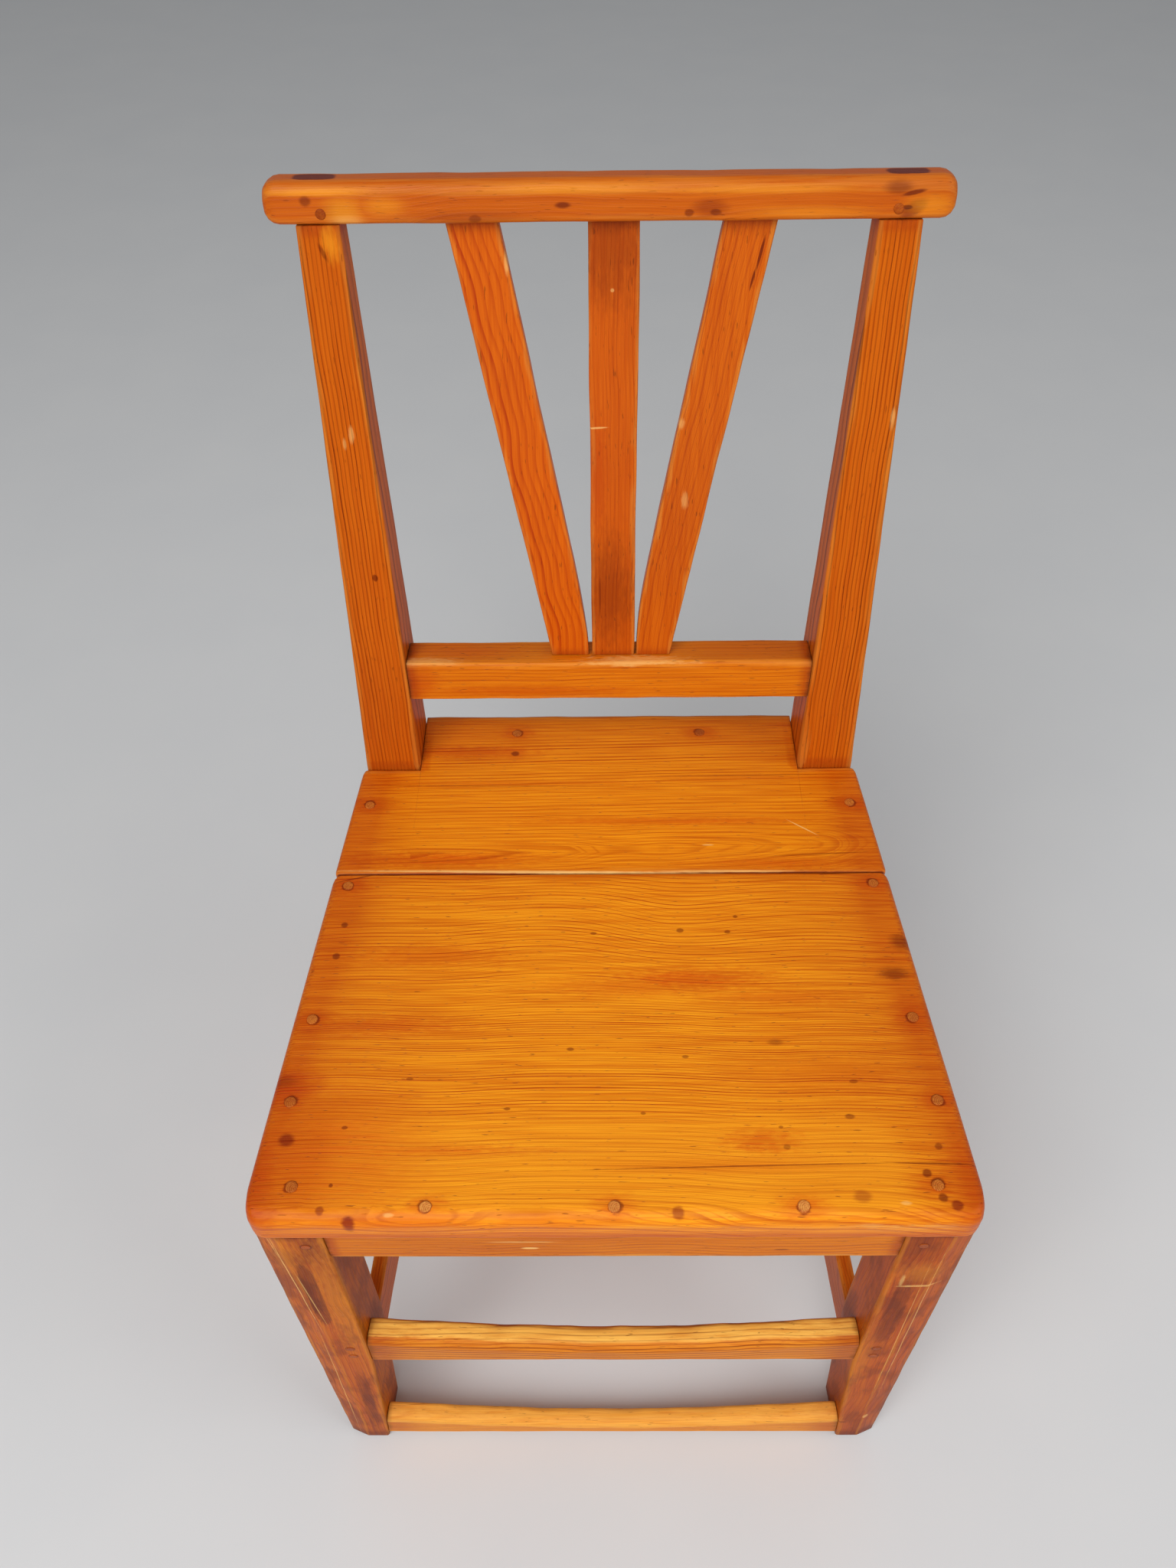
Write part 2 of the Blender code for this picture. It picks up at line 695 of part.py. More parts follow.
def paint_all():
    """Waxed pine: the seat honey orange, the legs redder, the stretchers paler, the pegs dark."""
    for name, piece in pieces.items():
        colour, rough = (0.69, 0.19, 0.012), 0.42
        if "peg" in name:
            colour, rough = (0.45, 0.15, 0.030), 0.55
        elif "leg" in name:
            colour, rough = (0.38, 0.10, 0.032), 0.38
        elif "stretcher" in name:
            colour, rough = (0.70, 0.26, 0.040), 0.48
        elif "seat_rail" in name:
            colour, rough = (0.60, 0.17, 0.024), 0.42
        elif "post" in name or "splat" in name:
            colour, rough = (0.54, 0.10, 0.008), 0.40
        elif "rail" in name:
            colour, rough = (0.63, 0.14, 0.009), 0.40
        paint(piece, colour, rough)


front_board()
rear_board()
build_back()
build_base()
join_base()
seat_pegs()
joint_pegs()
cut_joints()
paint_all()
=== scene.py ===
import math
from collections import namedtuple

import bpy
import numpy as np
from mathutils import Matrix, Vector


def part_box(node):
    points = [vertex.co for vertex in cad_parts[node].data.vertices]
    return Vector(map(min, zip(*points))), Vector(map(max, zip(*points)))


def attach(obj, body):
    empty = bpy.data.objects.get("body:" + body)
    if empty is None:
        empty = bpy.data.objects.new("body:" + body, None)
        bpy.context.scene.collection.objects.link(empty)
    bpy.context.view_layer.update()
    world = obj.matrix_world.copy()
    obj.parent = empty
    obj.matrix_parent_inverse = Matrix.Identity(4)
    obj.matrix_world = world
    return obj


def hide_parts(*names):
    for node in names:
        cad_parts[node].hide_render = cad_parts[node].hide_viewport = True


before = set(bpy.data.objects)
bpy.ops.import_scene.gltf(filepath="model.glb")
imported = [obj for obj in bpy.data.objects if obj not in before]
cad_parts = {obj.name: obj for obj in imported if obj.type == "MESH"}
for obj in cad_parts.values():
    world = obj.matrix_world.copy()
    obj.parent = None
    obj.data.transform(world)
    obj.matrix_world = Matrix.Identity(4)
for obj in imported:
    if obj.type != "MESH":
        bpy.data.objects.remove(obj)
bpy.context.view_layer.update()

# Sizes of the chair in metres, as the frame was built.
FIT = 0.0003
RAKE = math.radians(8.0)
SEAT_HALF, SEAT_CORNER, SEAT_REAR_LIP = 0.2155, 0.014, 0.003
LEG_WIDE, LEG_FOOT_WIDE, LEG_DEEP, LEG_INSET = 0.0417, 0.0305, 0.038, 0.0024
FACET_END, FACET_MIDDLE, FACET_DEEP = 0.013, 0.0175, 0.005
POST_SET, POST_OUT, POST_WIDE, POST_DEEP = 0.35, 0.1827, 0.0407, 0.05
POST_TOP_OUT, POST_TOP_WIDE, POST_TOP_DEEP = 0.1754, 0.0245, 0.0235
HEEL_WIDE, HEEL_DEEP, HEEL_BACK, BLOCK_DROP = 0.034, 0.034, 0.034, 0.01
CREST_UP, CREST_HIGH, CREST_PEG_UP = 0.3892, 0.0225, 0.006
RAIL_UP, RAIL_HIGH, RAIL_THICK = 0.0624, 0.0312, 0.0285
SPLAT_WIDE, SPLAT_THICK = 0.0298, 0.009
FAN_FOOT, FAN_TOP, FAN_GAP, FAN_BEND, FAN_SHIFT = 0.0403, 0.093, 0.0012, 0.004, 0.003
SIDE_STRETCH_THICK, SIDE_STRETCH_IN, SIDE_STRETCH_TURN = 0.011, 0.0046, 0.075
SIDE_RAIL_THICK, SIDE_SET = 0.02, 0.004

# Places read from the frame: depths are measured back from the fronts of the front legs.
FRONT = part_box("left_front_leg")[0].y
SEAT_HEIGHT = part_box("seat_front_board")[1].z
SEAT_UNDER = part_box("seat_front_board")[0].z
SEAT_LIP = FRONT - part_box("seat_front_board")[0].y
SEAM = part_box("seat_rear_board")[0].y - FRONT - FIT / 2
SEAT_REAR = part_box("seat_rear_board")[1].y - FRONT
LEG_OUT = SEAT_HALF - LEG_INSET
LEG_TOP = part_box("right_front_leg")[1].z
APRON_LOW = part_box("front_seat_rail")[0].z
BLOCK_LOW = APRON_LOW - BLOCK_DROP
POST_IN = POST_OUT - POST_WIDE
POST_TOP_IN = POST_TOP_OUT - POST_TOP_WIDE
LEG_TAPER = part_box("upper_front_stretcher")[0].z
TURN = (SEAT_HALF - POST_OUT - SEAT_REAR_LIP) / (POST_SET + SEAT_LIP)
STRETCH_OUT = LEG_OUT - LEG_WIDE + SIDE_STRETCH_IN + SIDE_STRETCH_THICK
CREST_TOP = CREST_UP + CREST_HIGH
RAIL_TOP = RAIL_UP + RAIL_HIGH
SPLAT_SET = (RAIL_THICK - SPLAT_THICK) / 2


# Places and smooth lines.

def floor_frame(x, d, z):
    """Points x across, d behind the leg fronts, z above the floor."""
    return np.stack(np.broadcast_arrays(x, FRONT + d, z), -1)


def back_frame(x, u, v):
    """Points x across, u up the rake from the seat top, v behind the post fronts."""
    d = POST_SET + u * math.sin(RAKE) + v * math.cos(RAKE)
    return floor_frame(x, d, SEAT_HEIGHT + u * math.cos(RAKE) - v * math.sin(RAKE))


def ease(low, high, t):
    """Smooth step: zero before low, one after high, 3t^2 - 2t^3 between."""
    t = np.clip((t - low) / (high - low), 0.0, 1.0)
    return t * t * (3.0 - 2.0 * t)


def ripple(t, seed, length):
    """Smooth wandering line between about -1 and 1: three sine waves of falling length with seeded phases."""
    rng = np.random.default_rng(seed)
    total = 0.0
    for k in range(3):
        wave = length * 0.55 ** k * rng.uniform(0.85, 1.15)
        total = total + 0.6 ** k * np.sin(2 * np.pi * (t / wave + rng.uniform()))
    return total / 1.6


def hump(t, middle, reach):
    """Bell: one at the middle, falling as a Gaussian over the reach."""
    return np.exp(-((t - middle) / reach) ** 2)


# Surfaces.

def section(low_a, high_a, low_b, high_b, radius, flat, sides, arc):
    """Ring of a rounded rectangle at every station: quarter ellipses of the two corner radii about centres set in from
    each corner, joined by straight runs. Where flat is one the quarter ellipse becomes its chord, a facet. Gives both
    coordinates and the distance along the ring from the nearest arris."""
    corner = np.stack([np.stack([low_a, high_a, high_a, low_a], 1), np.stack([low_b, low_b, high_b, high_b], 1)], -1)
    inward = np.array([(1.0, 1.0), (-1.0, 1.0), (-1.0, -1.0), (1.0, -1.0)])
    share = np.linspace(0.0, 1.0, arc + 1)
    turn = np.pi + (np.arange(4)[:, None] + share) * np.pi / 2
    way = np.stack([np.cos(turn), np.sin(turn)], -1)
    bend = (corner + inward * radius)[:, :, None] + radius[:, :, None] * way
    chord = bend[:, :, :1] + (bend[:, :, -1:] - bend[:, :, :1]) * share[:, None]
    keep = np.asarray(flat)[:, None, None]
    bend = bend * (1 - keep) + chord * keep
    near = np.minimum(share, 1 - share) * np.hypot(radius[..., 0], radius[..., 1])[:, :, None] * keep[..., 0]
    step = np.linspace(0.0, 1.0, sides + 2)[1:-1]
    gap = np.roll(bend[:, :, 0], -1, 1) - bend[:, :, -1]
    run = bend[:, :, -1:] + gap[:, :, None] * step[:, None]
    far = np.minimum(step, 1 - step) * np.hypot(gap[..., 0], gap[..., 1])[:, :, None]
    ring = np.concatenate([bend, run], 2).reshape(len(corner), -1, 2)
    return ring[..., 0], ring[..., 1], np.concatenate([near, far], 2).reshape(len(corner), -1)


def flat_row(values):
    """Values in one row, as Blender takes them."""
    return np.ascontiguousarray(values, np.float32).reshape(-1)


def add_object(name, data):
    """A new object in the scene."""
    made = bpy.data.objects.new(name, data)
    bpy.context.scene.collection.objects.link(made)
    return made


def skin(name, rows, ring, fibre, wear, soil, wood, nodes):
    """Closed surface over a grid of points: rows of rings, each joined to the next, with a flat face on the first and
    last. Carries the year ring count, the place in the board, and the worn and soiled shares as attributes. On the
    seat the soiled share also holds painted shade on the lip."""
    count, around = rows.shape[:2]
    index = np.arange(count * around).reshape(count, around)
    beside = np.roll(index, -1, 1)
    quads = np.stack([index[:-1], beside[:-1], beside[1:], index[1:]], -1).reshape(-1, 4)
    points = rows.reshape(-1, 3)
    a, b, c, d = (points[quads[:, k]] for k in range(4))
    middle = points.mean(0)
    outward = np.einsum("ij,ij->", np.cross(c - a, d - b), (a + b + c + d) / 4 - middle) > 0
    caps = [index[0][::-1], index[-1]]
    if not outward:
        quads, caps = quads[:, ::-1], [cap[::-1] for cap in caps]
    loops = np.concatenate([quads.reshape(-1), *caps])
    sizes = np.concatenate([np.full(len(quads), 4), [around, around]])
    mesh = bpy.data.meshes.new(name)
    mesh.vertices.add(len(points))
    mesh.vertices.foreach_set("co", flat_row(points))
    mesh.loops.add(len(loops))
    mesh.loops.foreach_set("vertex_index", loops.astype(np.int32))
    mesh.polygons.add(len(sizes))
    mesh.polygons.foreach_set("loop_start", np.concatenate([[0], np.cumsum(sizes)[:-1]]).astype(np.int32))
    smooth = np.ones(len(sizes), bool)
    smooth[-2:] = False
    mesh.polygons.foreach_set("use_smooth", smooth)
    for label, values in (("ring", ring), ("wear", wear), ("soil", soil)):
        values = np.broadcast_to(values, (count, around))
        mesh.attributes.new(label, "FLOAT", "POINT").data.foreach_set("value", flat_row(values))
    mesh.attributes.new("fibre", "FLOAT_VECTOR", "POINT").data.foreach_set("vector", flat_row(fibre))
    mesh.update(calc_edges=True)
    mesh.validate()
    mesh.materials.append(wood)
    piece = add_object(name, mesh)
    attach(piece, "root")
    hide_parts(*nodes)


def stations(start, end, count, rounds, extra):
    """Places along a bar, and how far its section is drawn in there: nothing along the bar, and a quarter circle at
    each end."""
    turn = np.linspace(0.0, np.pi / 2, 5)
    inner = np.union1d(np.linspace(start + rounds[0], end - rounds[1], count), np.asarray(extra, float))
    inner = inner[(inner >= start + rounds[0]) & (inner <= end - rounds[1])]
    first = start + rounds[0] * (1 - np.cos(turn))[:-1]
    last = (end - rounds[1] * (1 - np.cos(turn))[:-1])[::-1]
    draw = 1 - np.sin(turn[:-1])
    return (np.concatenate([first, inner, last]),
            np.concatenate([rounds[0] * draw, np.zeros(len(inner)), rounds[1] * draw[::-1]]))


def log_place(seed):
    """Where in the log a piece was cut, so that no two share their grain."""
    return np.array([seed * 0.37 % 5, seed * 0.71 % 5, seed * 0.53 % 5])


def bar(name, reach, count, bounds, place, rings, wood, seed, radius, rounds=(0.001, 0.001),
        flat=(0, 0, 0, 0), soil=None, wave=0.0001, dent=0.18, sides=8, arc=4, extra=(), draw=(1, 1, 1, 1), worn=None,
        edge_worn=1.0):
    """A piece of wood as one section carried along its length. bounds gives the low and high sides of the section at
    each station, radius the four arrises, and both wander a little, as hand planing and long use leave them."""
    along, inset = stations(*reach, count, rounds, extra)
    edges = []
    for k, (side, inward, wave_long) in enumerate(zip(bounds(along), (1, -1, 1, -1), (0.16, 0.19, 0.17, 0.21))):
        edges.append(side + inward * draw[k] * inset + wave * ripple(along, seed + 1 + k, wave_long))
    low_a, high_a, low_b, high_b = edges
    corner = np.asarray(radius(along) if callable(radius) else radius, float)
    if corner.ndim < 3:
        corner = np.broadcast_to(corner, (len(along), 4))[..., None] * np.ones(2)
    wander = np.stack([ripple(along, seed + 5 + k, 0.07) for k in range(4)], 1)
    corner = corner * (1 + dent * wander)[..., None]
    most = 0.49 * np.stack([high_a - low_a, high_b - low_b], 1)
    corner = np.minimum(corner, most[:, None, :])
    a, b, edge = section(low_a, high_a, low_b, high_b, corner, flat, sides, arc)
    l = np.broadcast_to(along[:, None], a.shape)
    from_end = np.minimum(l - reach[0], reach[1] - l)
    rounded_end = 0.7 * np.exp(-from_end / 0.002) * (rounds[0] > 0.004)
    wear = np.maximum(edge_worn * np.exp(-edge / 0.0035), rounded_end)
    if worn is not None:
        wear = np.maximum(wear, worn(a, b, l))
    dirt = np.exp(-from_end / 0.004) if soil is None else soil(a, b, l)
    fibre = np.stack([a, b, l], -1) + log_place(seed)
    skin(name, place(a, b, l), rings(a, b, l), fibre, wear, dirt, wood, (name,))


def growth(pith_a, pith_b, spacing, lean_a, lean_b, sway, seed):
    """Year ring count at a point: its distance from a pith line that leans and sways along the board, over the ring
    spacing."""
    def rings(a, b, l):
        off_a = a - pith_a - lean_a * l - sway * ripple(l, seed, 0.17)
        off_b = b - pith_b - lean_b * l - sway * ripple(l, seed + 1, 0.23)
        return np.hypot(off_a, off_b) / spacing
    return rings


# Materials.

class Net:
    """A node tree with short calls that place a node, feed its inputs with numbers or other outputs, and give its
    output."""

    def __init__(self, tree):
        self.tree = tree

    def node(self, kind, feeds=(), **settings):
        made = self.tree.nodes.new("ShaderNode" + kind)
        for key, value in settings.items():
            setattr(made, key, value)
        for key, value in dict(feeds).items():
            self.feed(made.inputs[key], value)
        return made

    def feed(self, socket, value):
        if isinstance(value, bpy.types.NodeSocket):
            self.tree.links.new(value, socket)
        else:
            socket.default_value = value

    def math(self, how, a, b=0.0, c=0.0):
        return self.node("Math", {0: a, 1: b, 2: c}, operation=how).outputs[0]

    def times(self, a, b):
        return self.math("MULTIPLY", a, b)

    def times_plus(self, a, b, c):
        return self.math("MULTIPLY_ADD", a, b, c)

    def vector(self, how, a, b=(0, 0, 0)):
        made = self.node("VectorMath", {0: a, 1: b}, operation=how)
        return made.outputs["Value" if how == "LENGTH" else "Vector"]

    def step(self, value, low, high, start=0.0, end=1.0):
        """Smooth step from one number to another as the value crosses a range."""
        feeds = {"Value": value, "From Min": low, "From Max": high, "To Min": start, "To Max": end}
        return self.node("MapRange", feeds, interpolation_type="SMOOTHSTEP").outputs["Result"]

    def noise(self, vector, scale, detail=2.0, rough=0.5):
        """Noise between 0 and 1 on a vector stretched by three scales."""
        place = self.vector("MULTIPLY", vector, scale)
        return self.node("TexNoise", {"Vector": place, "Scale": 1.0, "Detail": detail, "Roughness": rough}).outputs[0]

    def sway(self, *noise):
        """Noise about zero."""
        return self.math("SUBTRACT", self.noise(*noise), 0.5)

    def mix(self, share, a, b, how="MIX"):
        made = self.node("Mix", {0: share}, data_type="RGBA", blend_type=how, clamp_factor=True)
        self.feed(made.inputs[6], a)
        self.feed(made.inputs[7], b)
        return made.outputs[2]

    def attribute(self, label):
        return self.node("Attribute", attribute_name=label).outputs["Vector" if label == "fibre" else "Fac"]

    def group(self, tree, **feeds):
        made = self.node("Group", node_tree=tree)
        for key, value in feeds.items():
            self.feed(made.inputs[key], value)
        return made.outputs


VECTOR_SOCKETS = ("Fibre", "Place", "Scale", "Shift")


def new_group(name, inputs, outputs):
    """An empty shader group with named sockets, its net, its inputs by name and its outputs by name."""
    tree = bpy.data.node_groups.new(name, "ShaderNodeTree")
    for label in inputs:
        kind = "NodeSocketVector" if label in VECTOR_SOCKETS else "NodeSocketFloat"
        tree.interface.new_socket(label, in_out="INPUT", socket_type=kind)
    for label in outputs:
        tree.interface.new_socket(label, in_out="OUTPUT", socket_type="NodeSocketFloat")
    return tree, Net(tree), tree.nodes.new("NodeGroupInput").outputs, tree.nodes.new("NodeGroupOutput").inputs


def pine_grain_group():
    """Year rings of pine: the ring count, bent by noise, is cut into whole rings. In each ring the late wood darkens
    slowly and stops sharply, with its own width and depth, good and bad years come in runs, and faint lines run
    between. Fibres, flecks and patches are noise drawn out along the grain."""
    tree, net, take, give = new_group(
        "pine_grain", ["Ring", "Fibre", "Wobble", "Late", "Least", "Between"],
        ["Line", "Fibre", "Fleck", "Patch", "Broad"])
    fibre = take["Fibre"]
    slow = net.sway(fibre, (26, 26, 5.0))
    fine = net.sway(fibre, (150, 150, 9.0), 1.0)
    bend = net.times(net.times_plus(fine, 0.3, slow), take["Wobble"])
    ring = net.math("ADD", take["Ring"], bend)
    whole = net.math("FLOOR", ring)
    part = net.math("FRACT", ring)
    chance = net.node("TexWhiteNoise", {"W": whole}, noise_dimensions="1D").outputs["Value"]
    other = net.node("TexWhiteNoise", {"W": net.math("ADD", whole, 71.3)}, noise_dimensions="1D").outputs["Value"]
    width = net.times(take["Late"], net.times_plus(chance, 0.9, 0.55))
    rise = net.step(part, net.math("SUBTRACT", 0.95, width), 0.95)
    fall = net.step(part, 0.95, 1.0, 1.0, 0.0)
    depth = net.step(net.math("POWER", other, 2.0), 0.0, 1.0, take["Least"], 1.0)
    years = net.node("TexNoise", {"W": net.times(whole, 0.19), "Scale": 1.0, "Detail": 1.0},
                     noise_dimensions="1D").outputs[0]
    bad_year = net.times_plus(take["Least"], 0.65, 0.35)
    depth = net.times(depth, net.step(years, 0.38, 0.62, bad_year, 1.0))
    break_up = net.step(net.noise(fibre, (210, 210, 14)), 0.25, 0.55, 0.55, 1.0)
    line = net.times(net.times(rise, fall), net.times(depth, break_up))
    between = net.math("PINGPONG", net.times(ring, 2.7), 0.5)
    between = net.times(net.step(between, 0.3, 0.5, 0.0, take["Between"]), break_up)
    net.feed(give["Line"], net.math("MAXIMUM", line, between))
    net.feed(give["Fibre"], net.noise(fibre, (760, 760, 16), 2.0, 0.6))
    net.feed(give["Fleck"], net.step(net.noise(fibre, (1000, 1000, 120), 1.0), 0.68, 0.77))
    net.feed(give["Patch"], net.noise(fibre, (13, 13, 5.0), 3.0, 0.55))
    net.feed(give["Broad"], net.noise(fibre, (48, 48, 4.0)))
    return tree


def rubbed_edge_group():
    """Pale rubbed arrises: the worn share plus noise, past a smooth threshold."""
    tree, net, take, give = new_group("rubbed_edge", ["Wear", "Fibre", "Amount", "Uneven"], ["Rub"])
    total = net.times_plus(net.sway(take["Fibre"], (330, 330, 16), 3.0, 0.6), take["Uneven"], take["Wear"])
    net.feed(give["Rub"], net.times(net.step(total, 0.62, 1.15), take["Amount"]))
    return tree


def wax_dirt_and_shade_group():
    """Dirt and old wax, and on the seat's lip painted shade: the soiled share broken up by noise, past a smooth
    threshold.
    """
    tree, net, take, give = new_group("wax_dirt_and_shade", ["Soil", "Fibre", "Amount"], ["Grime"])
    total = net.times_plus(net.sway(take["Fibre"], (70, 70, 24), 4.0, 0.62), 1.1, take["Soil"])
    net.feed(give["Grime"], net.times(net.step(total, 0.45, 1.05), take["Amount"]))
    return tree


def mark_group(square):
    """One mark on the wood. The place times a scale plus a shift is the way from the mark's centre over its reach.
    Its length, roughened by noise, is the distance, and the mark fades out as that crosses one. A square mark takes
    the length of the squares, which gives a rounded rectangle."""
    tree, net, take, give = new_group(
        "square_mark" if square else "round_mark",
        ["Place", "Scale", "Shift", "Ragged", "Inner", "Outer", "Strength"], ["Mark"])
    feeds = {0: take["Place"], 1: take["Scale"], 2: take["Shift"]}
    off = net.node("VectorMath", feeds, operation="MULTIPLY_ADD").outputs[0]
    far = net.vector("LENGTH", net.vector("MULTIPLY", off, off) if square else off)
    far = net.math("SQRT", far) if square else far
    far = net.math("ADD", far, take["Ragged"])
    net.feed(give["Mark"], net.step(far, take["Inner"], take["Outer"], take["Strength"], 0.0))
    return tree


PINE_GRAIN = pine_grain_group()
RUBBED_EDGE = rubbed_edge_group()
WAX_DIRT_AND_SHADE = wax_dirt_and_shade_group()
ROUND_MARK, SQUARE_MARK = mark_group(False), mark_group(True)

# Which way a marked face looks, and how deep a mark reaches into each surface.
UP, OUT = (0.0, 0.0, 1.0), (0.0, 1.0, 0.0)
INTO_SEAT, INTO_FRONT, INTO_BACK = 0.012, 0.006, 0.008

# A mark: its kind, centre and half sizes, the way its face looks, and its look.
Mark = namedtuple("Mark", "kind centre reach face strength soft ragged turn square", defaults=(0.8, 0.3, 0.5, 0.0, 0.0))


def on_seat(kind, x, d, wide, deep, *look):
    """A mark on top of the seat, x across and d back. Dark ones are a little weaker there."""
    mark = Mark(kind, (x, FRONT + d, SEAT_HEIGHT), (wide, deep, INTO_SEAT), UP, *look)
    return mark._replace(strength=mark.strength * 0.8) if kind == "dark" else mark


def on_front(kind, x, z, wide, high, *look):
    """A mark on the front of a leg or of the apron, x across and z up."""
    return Mark(kind, (x, FRONT, z), (wide, INTO_FRONT, high), OUT, *look)


def on_back(kind, x, z, wide, high, *look, behind=0.0):
    """A mark on the front of the back, x across and z up, at the depth that the rake gives there or so far behind
    it."""
    d = POST_SET + (z - SEAT_HEIGHT) * math.tan(RAKE) + behind
    return Mark(kind, (x, FRONT + d, z), (wide, INTO_BACK, high), OUT, *look)


def on_splat(*mark):
    """A mark on the front of a splat, given as on_back takes it."""
    return on_back(*mark, behind=SPLAT_SET)


def mark_rows(surface, **kinds):
    """Marks on a surface from rows by kind. A row has the mark's place and half sizes in millimetres, then strength,
    softness, raggedness, turn and squareness, as far as they differ from the usual."""
    return [surface(kind, *(size / 1000 for size in row[:4]), *row[4:]) for kind, rows in kinds.items() for row in rows]


def reaching(node, marks, spare=0.003):
    """The marks that reach a node's box."""
    low, high = (np.array(corner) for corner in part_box(node))
    return [mark for mark in marks if np.all(np.add(mark.centre, mark.reach) > low - spare)
            and np.all(np.subtract(mark.centre, mark.reach) < high + spare)]


def lay_marks(net, place, rough, marks, kind):
    """All marks of one kind on a piece as one mask: the strongest at each point."""
    total = None
    for what, centre, reach, face, strength, soft, ragged, turn, square in marks:
        if what != kind:
            continue
        at = place
        if turn:
            at = net.node("VectorRotate", {"Vector": place, "Center": centre, "Axis": face, "Angle": turn},
                          rotation_type="AXIS_ANGLE").outputs[0]
        mark = net.group(SQUARE_MARK if square else ROUND_MARK, Place=at, Scale=[1 / r for r in reach],
                         Shift=[-c / r for c, r in zip(centre, reach)], Ragged=net.times(rough, ragged),
                         Inner=1 - soft, Outer=1 + soft, Strength=strength)["Mark"]
        total = mark if total is None else net.math("MAXIMUM", mark, total)
    return total


# Each kind of mark with its colour and with how that is laid on: dark ones let the grain show through.
MARK_TINTS = (("stain", (0.78, 0.4, 0.4), "MULTIPLY"), ("red", (0.36, 0.13, 0.6), "MULTIPLY"),
              ("gold", (0.84, 0.3, 0.014), "MIX"), ("dark", (0.22, 0.065, 0.3), "MULTIPLY"),
              ("pale", (0.9, 0.54, 0.17), "MIX"))


def new_material(name):
    """A material, its net and its shader."""
    made = bpy.data.materials.new(name)
    made.use_nodes = True
    return made, Net(made.node_tree), next(n for n in made.node_tree.nodes if n.type == "BSDF_PRINCIPLED")


def pine(name, light, late, marks=(), line=1.0, late_share=0.42, wobble=0.5, patch=0.2, fleck=0.5, rub=0.3, over=0.0,
         pale=(0.8, 0.38, 0.06), grime=0.75, soot=(0.12, 0.022, 0.003), rough=0.4, red=(0.42, 0.066, 0.004),
         thread=0.7, least=0.45, between=0.3, broad=0.25, uneven=1.7, mottle=0.0, gloss=0.12):
    """Waxed pine. Early wood takes the light colour and late wood the dark one. Patches and handled sides redden it,
    rubbed arrises turn pale with the grain still showing, and dirt, holes, plugs and scratches lie over it. On the
    seat's lip the soiled share that reddens and darkens it is painted shade, and a few pale and gold marks are painted
    highlights on arrises. Grain and dents raise the surface."""
    wood, net, shader = new_material(name)
    fibre, soil = net.attribute("fibre"), net.attribute("soil")
    grain = net.group(PINE_GRAIN, Ring=net.attribute("ring"), Fibre=fibre, Wobble=wobble, Late=late_share,
                      Least=least, Between=between)
    colour = net.mix(net.times(grain["Line"], line), (*light, 1), (*late, 1))
    warm = net.times(net.step(grain["Patch"], 0.4, 0.7), patch)
    # The soiled share reddens the wood here and darkens it further on: dirt, and on the seat's lip painted shade.
    warm = net.math("MAXIMUM", warm, net.step(soil, 0.0, 0.42, 0.0, 0.72))
    colour = net.mix(warm, colour, (*red, 1))
    colour = net.mix(net.step(grain["Broad"], 0.36, 0.66, 0.0, broad), colour, (0.86, 0.66, 0.55, 1), "MULTIPLY")
    colour = net.mix(net.step(grain["Fibre"], 0.32, 0.66, thread, 0.0), colour, (0.78, 0.55, 0.45, 1), "MULTIPLY")
    if mottle:
        cloud = net.step(net.noise(fibre, (60, 60, 24), 3.0, 0.6), 0.44, 0.62, 0.0, mottle)
        colour = net.mix(cloud, colour, (*red, 1))
    rubbed = net.group(RUBBED_EDGE, Wear=net.attribute("wear"), Fibre=fibre, Amount=rub, Uneven=uneven)["Rub"]
    colour = net.mix(rubbed, colour, (*pale, 1))
    if over:
        colour = net.mix(net.times(grain["Line"], over), colour, (*late, 1))
    colour = net.mix(net.times(grain["Fleck"], fleck), colour, (*soot, 1))
    dirt = net.group(WAX_DIRT_AND_SHADE, Soil=soil, Fibre=fibre, Amount=grime)["Grime"]
    colour = net.mix(dirt, colour, (*soot, 1))
    place = net.node("TexCoord").outputs["Object"]
    uneven_edge = net.sway(fibre, (520, 520, 130), 3.0, 0.6)
    streak = net.step(grain["Fibre"], 0.36, 0.6, 0.45, 1.0)
    for kind, tint, blend in MARK_TINTS:
        mask = lay_marks(net, place, uneven_edge, marks, kind)
        if mask:
            mask = net.times(mask, streak) if kind == "stain" else mask
            colour = net.mix(mask, colour, (*tint, 1), blend)
    worn = net.times_plus(grain["Fibre"], 0.16, rough - 0.08)
    worn = net.times_plus(dirt, 0.25, worn)
    worn = net.times_plus(rubbed, 0.12, worn)
    height = net.times_plus(grain["Line"], 0.45, net.times(grain["Fibre"], 0.4))
    height = net.times_plus(net.noise(place, (46, 46, 46)), 0.5, height)
    height = net.times_plus(grain["Fleck"], -0.6, height)
    bump = net.node("Bump", {"Height": height, "Strength": 0.5, "Distance": 0.0008})
    net.feed(shader.inputs["Base Color"], colour)
    net.feed(shader.inputs["Roughness"], worn)
    net.feed(shader.inputs["Normal"], bump.outputs[0])
    shader.inputs["Specular IOR Level"].default_value = gloss
    return wood


def peg_box(node):
    """Middle of a peg's box across, back and up, and its half width."""
    low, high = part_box(node)
    return (*((a + b) / 2 for a, b in zip(low, high)), (high.x - low.x) / 2)


def peg_shadow(node, number):
    """The ring of dirt round a peg in the seat, heavier on one side."""
    x, y, _, wide = peg_box(node)
    turn, off = 2.4 * number, 0.22 * wide
    return on_seat("dark", x + off * math.cos(turn), y - FRONT + off * math.sin(turn), wide * 1.16, wide * 1.1, 0.85,
                   0.2, 0.7)


def peg_stain(node):
    """The reddened wood round a peg in the seat, drawn out along the grain."""
    x, y, _, wide = peg_box(node)
    return on_seat("stain", x, y - FRONT, wide * 3.4, wide * 1.7, 0.8, 0.8, 1.8)


